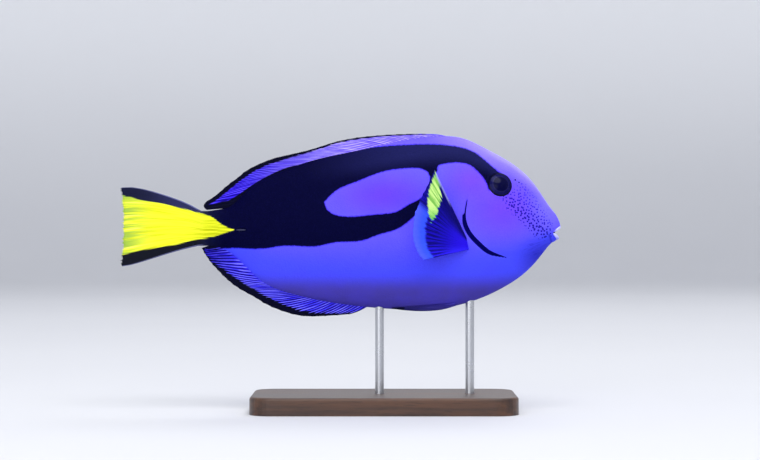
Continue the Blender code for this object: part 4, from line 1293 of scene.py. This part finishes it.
def paint_tail():
    coat = Finish("fin_tail_satin", Roughness=0.45, Specular_IOR_Level=0.06)
    yellow, wedge, fine = tail_pattern(coat)
    across = coat.stored("across")
    # Painted light: the upper black band is painted lighter and the lower one darker, as light
    # falls from above.
    painted_light_upper_band = coat.mask(coat.step(across, 0.5, 0.8), coat.step(coat.x, -92.0, -72.0),
                      coat.step(coat.x, -56.0, -64.0))
    # Painted highlight: a pale line along the fin's top and bottom edges near the stalk.
    rim = coat.mask(coat.step(coat.stored("rim"), 0.26, 0.06), coat.step(coat.x, -61.0, -66.0),
                    0.5)
    black = coat.layers(tone(8, 10, 36), (fine, (26, 30, 62)),
                        (coat.step(across, 0.5, 0.3), (10, 13, 26)), (painted_light_upper_band, (38, 40, 80)),
                        (coat.step(coat.x, -66.0, -60.0), CAUDAL_BLACK))
    colour = coat.mix(coat.step(wedge, -0.25, 0.25), black, yellow)
    coat.bump((fine, 0.06))
    return coat.done(coat.layers(colour, (rim, (130, 134, 190))))


def caudal_thickness(along, across):
    x = blend(CAUDAL_ROOT_X, CAUDAL_TIP_X, along)
    sheet = blend(CAUDAL_MIDDLE, CAUDAL_EDGE, smooth_step(-x, -CAUDAL_FLAT_X, -CAUDAL_TIP_X))
    lens = CAUDAL_ROOT * np.sqrt(np.clip(np.sin(math.pi * across), 0.004, 1))
    return blend(sheet, lens, np.clip(1 - (CAUDAL_ROOT_X - x) / (CAUDAL_ROOT_X - CAUDAL_FLAT_X),
                                      0, 1) ** 1.3)


caudal = make_fin("fin_caudal", paint_tail(), caudal_place, CAUDAL_RAYS, 34,
                  caudal_thickness, ragged_ends(CAUDAL_RAYS, 0.012, 0.016, 7, 4),
                  fin_radius(0.00052, 0.00013, 1.1), 1, (0.40, 0.68))
tail_view = points_of(caudal.data)[:, [0, 2]]
store(caudal.data, "wedge", signed_distance(tail_view * MM, wedge_outline))
off_rim = np.minimum(caudal_top(tail_view[:, 0]) - tail_view[:, 1],
                     tail_view[:, 1] - caudal_bottom(tail_view[:, 0]))
store(caudal.data, "rim", off_rim * MM)
print("tail faces:", len(caudal.data.polygons))

# %% [markdown]
# ## Pectoral fins
# These fans row the fish along. In the photo the right one is raised, its first ray
# straight and stiff, the rest spread below it. The rule turns each ray by its angle about
# the root, gives it its own length and lets it stand off the flank.

# %% Make the pectoral fins
PECTORAL_LENGTHS = [(114.6, 0.0359), (125.0, 0.0318), (144.1, 0.0280), (165.5, 0.0255),
                    (184.5, 0.0235), (200.0, 0.0212)]
PECTORAL_RAYS = 16
PECTORAL_FLARE = math.radians(21.0)
PECTORAL_BOW = 0.0012
PECTORAL_OFF = 0.0004
YELLOW_PATCH = [(42.7, 108.6), (44.9, 102.4), (45.4, 95.0), (43.4, 89.5), (41.0, 85.4),
                (40.0, 89.9), (39.4, 97.8)]
pectoral_length = spline_through(PECTORAL_LENGTHS)


def pectoral_place(side):
    first, last = PECTORAL_LENGTHS[0][0], PECTORAL_LENGTHS[-1][0]

    def place(across, along):
        across, along = np.broadcast_arrays(across, along)
        root, normal = flank(*(blend(PECTORAL_ROOT_TOP[k], PECTORAL_ROOT_BOTTOM[k], across)
                               for k in (0, 1)), side)
        root = root + normal * PECTORAL_OFF
        degrees = blend(first, last, across)
        length = pectoral_length(degrees)
        tip = np.stack([PECTORAL_MIDDLE[0] + length * np.cos(np.radians(degrees)),
                        root[..., 1] + side * length * math.tan(PECTORAL_FLARE),
                        PECTORAL_MIDDLE[1] + length * np.sin(np.radians(degrees))], axis=-1)
        point = root + (tip - root) * along[..., None]
        point[..., 1] += side * PECTORAL_BOW * np.sin(math.pi * along)
        return point

    return place


def paint_pectoral():
    coat = Finish("fin_pectoral_satin", Roughness=0.45, Specular_IOR_Level=0.10,
                  Specular_Tint=BLUE_GLOSS)
    across, along = coat.stored("across"), coat.stored("along")
    turn = coat.math("MULTIPLY", across, 2 * math.pi * (PECTORAL_RAYS - 1))
    on_ray, fine = coat.step(coat.math("COSINE", turn), 0.1, 0.9), coat.streaks(40.0, 2.0)
    ink = coat.mask(coat.math("MAXIMUM", on_ray, coat.step(fine, 0.50, 0.62)),
                    coat.step(along, 0.25, 0.60), coat.step(across, 0.05, 0.30), 0.8)
    colour = coat.layers(tone(34, 12, 214), (coat.step(along, 0.05, 0.5), (22, 8, 178)),
                         (coat.step(across, 0.34, 0.05), (6, 1, 104)),
                         (coat.step(across, 0.72, 1.0), (40, 26, 226)), (ink, (4, 1, 78)))
    inner = coat.math("ADD", along, coat.swing(fine, 0.10))
    clear = coat.mask(coat.step(inner, 0.74, 0.80), coat.step(across, 0.26, 0.36))
    clear_tone = coat.mix(coat.step(along, 0.80, 1.0), tone(52, 82, 250), tone(78, 92, 252))
    colour = coat.mix(clear, colour, clear_tone)
    patch = coat.math("ADD", coat.stored("mark"), coat.swing(fine, 3.4))
    yellow = coat.layers(tone(124, 190, 80), (coat.step(fine, 0.38, 0.60), (206, 246, 140)),
                         (coat.step(coat.z, 94.0, 86.0), (110, 196, 90)))
    colour = coat.mix(coat.step(patch, -0.4, 0.5), colour, yellow)
    first_ray = coat.mask(coat.step(across, 0.018, 0.006), coat.step(along, 0.45, 0.60),
                          coat.step(along, 0.98, 0.90), 0.7)
    coat.bump((on_ray, 0.05), (fine, 0.05))
    return coat.done(coat.layers(colour, (first_ray, (150, 150, 236))))


pectoral_finish = paint_pectoral()
pectorals = {}
for word, side in (("right", -1), ("left", 1)):
    fin = make_fin("fin_pectoral_" + word, pectoral_finish, pectoral_place(side), PECTORAL_RAYS,
                   26, fin_thickness(0.0007, 0.00020),
                   ragged_ends(PECTORAL_RAYS, 0.01, 0.015, 11), fin_radius(0.00045, 0.00013, 1.2),
                   1, (0.45, 0.72))
    store(fin.data, "mark", signed_distance(points_of(fin.data)[:, [0, 2]] * MM,
                                            np.array(YELLOW_PATCH)))
    pectorals[side] = fin
print("pectoral faces:", len(pectorals[1].data.polygons))

# %% [markdown]
# ## Pelvic fins
# Folded flat, the pelvic fins are two slim blades against the belly, one spine and three
# rays each. The rule walks along the belly and fans out by a few degrees either way.

# %% Make the pelvic fins
PELVIC_ROOT_X, PELVIC_TIP_X = 0.0523, 0.0236
PELVIC_ANGLE = math.radians(13.0)
PELVIC_HALF_SPANS = [(0.0, 2.0), (0.3, 5.6), (0.7, 4.2), (1.0, 0.5)]
PELVIC_RAYS = 4
PELVIC_OFF = 0.0007
PELVIC_DARK_FROM, PELVIC_DARK_SLOPE = 0.80, 12
pelvic_half_span = spline_through(PELVIC_HALF_SPANS)


def pelvic_place(side):
    def place(across, along):
        across, along = np.broadcast_arrays(across, along)
        x = blend(PELVIC_ROOT_X, PELVIC_TIP_X, along)
        off_belly = PELVIC_ANGLE + (2 * across - 1) * np.radians(pelvic_half_span(along))
        angle = side * (math.pi - off_belly)
        rise = PELVIC_OFF * smooth_step(along, -0.2, 0.25)
        return surface(x, angle) + surface_normal(x, angle, side) * rise[..., None]
    return place


pelvic_finish = paint_fin(
    "fin_pelvic_satin", (50.0, tone(62, 54, 158), tone(78, 70, 176), tone(26, 20, 96)),
    (24.0, tone(46, 44, 120), tone(60, 56, 140), tone(14, 12, 64)), tone(10, 12, 50),
    PELVIC_RAYS, 0.4, 0.6)
pelvics = {}
for word, side in (("right", -1), ("left", 1)):
    fin = make_fin("fin_pelvic_" + word, pelvic_finish, pelvic_place(side), PELVIC_RAYS, 30,
                   fin_thickness(0.0008, 0.00030), ragged_ends(PELVIC_RAYS, 0.0, 0.0, 13),
                   fin_radius(0.00048, 0.00016, 1.1), 1, (0.5,))
    store(fin.data, "mark", (stored(fin.data, "along") - PELVIC_DARK_FROM) * PELVIC_DARK_SLOPE)
    store(fin.data, "dark_root", np.full(len(fin.data.vertices), NO_DARK_ROOT))
    pelvics[side] = fin
print("pelvic faces:", len(pelvics[1].data.polygons))

# %% [markdown]
# ## Tail spines
# Surgeonfish carry a folding blade on each side of the tail stalk. It lies in a groove, its
# point towards the head. A ring of sections that narrows to a point makes the blade.

# %% Make the tail spines
SPINE_STEPS, SPINE_SIDES, SPINE_SWELL, SPINE_TAPER = 24, 16, 1.45, 0.55


def make_spine(name, side, finish):
    point, normal = flank(SPINE_X, SPINE_Z, side)
    turn = np.array(Vector(normal).to_track_quat("Y", "Z").to_matrix())
    share = np.linspace(0, 1, SPINE_STEPS + 2)[1:-1]
    wide = np.sqrt(share) * (1 - share) ** SPINE_TAPER * SPINE_SWELL
    round_axis = np.linspace(0, 2 * math.pi, SPINE_SIDES, endpoint=False)
    direction = 1.0 if turn[0, 0] > 0 else -1.0
    length = (share - 0.5)[:, None] * SPINE_LENGTH * direction
    rings = np.stack([length + 0 * round_axis,
                      wide[:, None] * SPINE_DEPTH / 2 * np.cos(round_axis),
                      wide[:, None] * SPINE_HEIGHT / 2 * np.sin(round_axis)], axis=-1)
    ends = np.array([[-0.5, 0, 0], [0.5, 0, 0]]) * SPINE_LENGTH * direction
    mesh = closed_tube(name, rings @ turn.T + point, *(ends @ turn.T + point))
    mesh.materials.append(finish)
    return new_object(name, mesh)


spine_coat = Finish("spine_bone", Roughness=0.45, Specular_IOR_Level=0.12)
spine_grain = spine_coat.noise(0.4)
spine_tone = spine_coat.mix(spine_grain, tone(22, 23, 52), tone(60, 62, 90))
spine_coat.bump((spine_grain, 0.03))
spine_finish = spine_coat.done(spine_tone)
spines = {side: make_spine("blade_" + word, side, spine_finish)
          for word, side in (("right", -1), ("left", 1))}
print("spine faces:", len(spines[1].data.polygons))

# %% [markdown]
# ## The stand
# A museum stand should be quiet: a dark stained, satin lacquered wooden base and two thin
# steel rods. The solids are already the right shape, so they stay and only get finishes:
# long stretched noise for the wood's grain and fine rings round the rods for the steel.

# %% Stand finishes
def paint_wood():
    coat = Finish("base_stained_wood", Roughness=0.42, Specular_IOR_Level=0.4,
                  Coat_Weight=0.25, Coat_Roughness=0.25)
    stretched = coat.vector(coat.math("MULTIPLY", coat.x, 0.06), coat.y)
    stretched = coat.add("VectorMath", {0: stretched, 1: coat.vector(0.0, 0.0, coat.z)},
                         operation="ADD").outputs[0]
    broad = coat.noise(3.2, stretched, detail=4.0)
    pores = coat.noise(0.35, stretched, detail=2.0)
    colour = coat.mix(coat.step(broad, 0.32, 0.68), tone(44, 27, 18), tone(82, 52, 34))
    colour = coat.mix(coat.mask(coat.step(pores, 0.56, 0.72), 0.55), colour, tone(24, 14, 10))
    coat.bump((pores, 0.05), (broad, 0.08))
    return coat.done(colour, coat.spread(broad, 0.36, 0.50))


def paint_steel():
    coat = Finish("rod_brushed_steel", Roughness=0.28, Metallic=1.0)
    turned = coat.noise(0.12, coat.vector(0.0, 0.0, coat.z), detail=2.0)
    colour = coat.mix(turned, tone(176, 178, 182), tone(204, 206, 210))
    coat.bump((turned, 0.006))
    return coat.done(colour, coat.spread(coat.noise(6.0), 0.22, 0.36))


def refinish(node, finish):
    """Gives a solid's own object a better material."""
    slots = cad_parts[node].material_slots
    for place in slots:
        place.material = finish
    if not slots:
        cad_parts[node].data.materials.append(finish)


wood_finish, steel_finish = paint_wood(), paint_steel()
refinish("stand_base", wood_finish)
for node in ("stand_rod_front", "stand_rod_rear"):
    refinish(node, steel_finish)

# %% [markdown]
# ## Which piece stands for which solid
# The skin takes the place of all solids of flesh, and each fin, eye and spine that of its
# own solid. Everything rides on the one body, because the model has no joints.

# %% Hand the pieces over
stands_for = [
    (skin_item, "skin_blue", ["head", "lower_jaw", "gill_cover_right", "gill_cover_left",
                              "trunk", "peduncle"]),
    (lips, "skin_blue", []),
    (mouth_lining, "skin_blue", []),
    (dorsal, "fin_blue", ["dorsal_fin"]),
    (anal, "fin_blue", ["anal_fin"]),
    (caudal, "fin_yellow", ["caudal_fin"]),
]
for word, side in (("right", -1), ("left", 1)):
    stands_for += [
        (eyes[side], "eye_dark", ["eye_" + word]),
        (spines[side], "spine_bone", ["tail_spine_" + word]),
        (pectorals[side], "fin_blue", ["pectoral_fin_" + word]),
        (pelvics[side], "fin_blue", ["pelvic_fin_" + word]),
    ]
for piece, finish_slot, nodes in stands_for:
    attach(piece, "root")
    if nodes:
        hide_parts(*nodes)
print("pieces handed over:", len(stands_for))

# %% [markdown]
# ## Studio
# A pale floor that curves up far behind the model keeps every view plain. Large soft lights
# from above and from the front give the even light of the photo, with darker undersides.

# %% Floor and lights
FLOOR_RADIUS, WALL_RADIUS, WALL_HEIGHT = 2.4, 3.4, 3.0
FLOOR_TURNS, FLOOR_CURVE_RINGS = 96, 14
FLOOR_INNER_RINGS = [0.3, 0.9, 1.6]


def make_floor():
    quarter = np.linspace(0, math.pi / 2, FLOOR_CURVE_RINGS)
    curve = WALL_RADIUS - FLOOR_RADIUS
    out = np.concatenate([FLOOR_INNER_RINGS, FLOOR_RADIUS + curve * np.sin(quarter),
                          [WALL_RADIUS]])
    up = np.concatenate([np.zeros(len(FLOOR_INNER_RINGS)), curve * (1 - np.cos(quarter)),
                         [WALL_HEIGHT]])
    turns = np.linspace(0, 2 * math.pi, FLOOR_TURNS, endpoint=False)
    rings = np.stack([out[:, None] * np.cos(turns), out[:, None] * np.sin(turns),
                      up[:, None] + 0 * turns], axis=-1)
    faces = grid_faces(len(out), FLOOR_TURNS, True)
    middle = len(out) * FLOOR_TURNS
    faces += [(middle, (i + 1) % FLOOR_TURNS, i) for i in range(FLOOR_TURNS)]
    faces = [face[::-1] for face in faces]
    mesh = mesh_from("floor", np.concatenate([rings.reshape(-1, 3), [(0, 0, 0)]]), faces)
    mesh.shade_smooth()
    coat = Finish("floor_pale", Roughness=0.85, Specular_IOR_Level=0.1)
    pale = coat.mix(coat.noise(400.0), tone(202, 203, 208), tone(208, 209, 213))
    # Painted light: the wall is painted paler than the floor, to make up for the weaker light that
    # reaches it.
    mesh.materials.append(coat.done(coat.mix(coat.step(coat.z, 0.0, 600.0), pale,
                                             tone(246, 247, 250))))
    return new_object("floor", mesh)


def add_light(name, place, aim, size, watts, colour=(1.0, 1.0, 1.0)):
    lamp = bpy.data.lights.new(name, "AREA")
    lamp.shape, lamp.size, lamp.energy, lamp.color = "DISK", size, watts, colour
    item = bpy.data.objects.new(name, lamp)
    item.location = place
    item.rotation_euler = (Vector(aim) - Vector(place)).to_track_quat("-Z", "Y").to_euler()
    bpy.context.scene.collection.objects.link(item)


make_floor()
MODEL_MIDDLE = (0.01, 0.0, 0.08)
add_light("key_above", (0.15, -0.80, 1.50), MODEL_MIDDLE, 1.2, 20.0)
add_light("fill_front", (-0.55, -1.7, 0.50), MODEL_MIDDLE, 1.4, 11.0)
add_light("rim_back", (0.35, 1.2, 1.6), MODEL_MIDDLE, 1.0, 9.0)
sky = bpy.data.worlds.new("studio")
sky.use_nodes = True
sky.node_tree.nodes["Background"].inputs["Color"].default_value = (0.86, 0.88, 0.92, 1.0)
sky.node_tree.nodes["Background"].inputs["Strength"].default_value = 0.88
bpy.context.scene.world = sky
bpy.context.scene.view_settings.view_transform = "Standard"

# %% [markdown]
# ## Camera
# The photo was taken level with the fish and square to its side. The lens and distance give
# the photo's scale, 0.4545 mm a pixel at the fish's middle plane, and the aim its framing.

# %% Camera
IMAGE_WIDTH, MM_PER_PIXEL, SENSOR_WIDTH = 760, 0.4545, 36.0
lens = bpy.data.cameras.new("camera")
lens.sensor_width = SENSOR_WIDTH
lens.lens = SENSOR_WIDTH * CAMERA_DISTANCE / (IMAGE_WIDTH * MM_PER_PIXEL / MM)
camera = bpy.data.objects.new("camera", lens)
camera.location = (AIM[0], -CAMERA_DISTANCE, AIM[1])
camera.rotation_euler = (math.pi / 2, 0.0, 0.0)
bpy.context.scene.collection.objects.link(camera)
bpy.context.scene.camera = camera
print("lens:", round(lens.lens, 1), "mm")
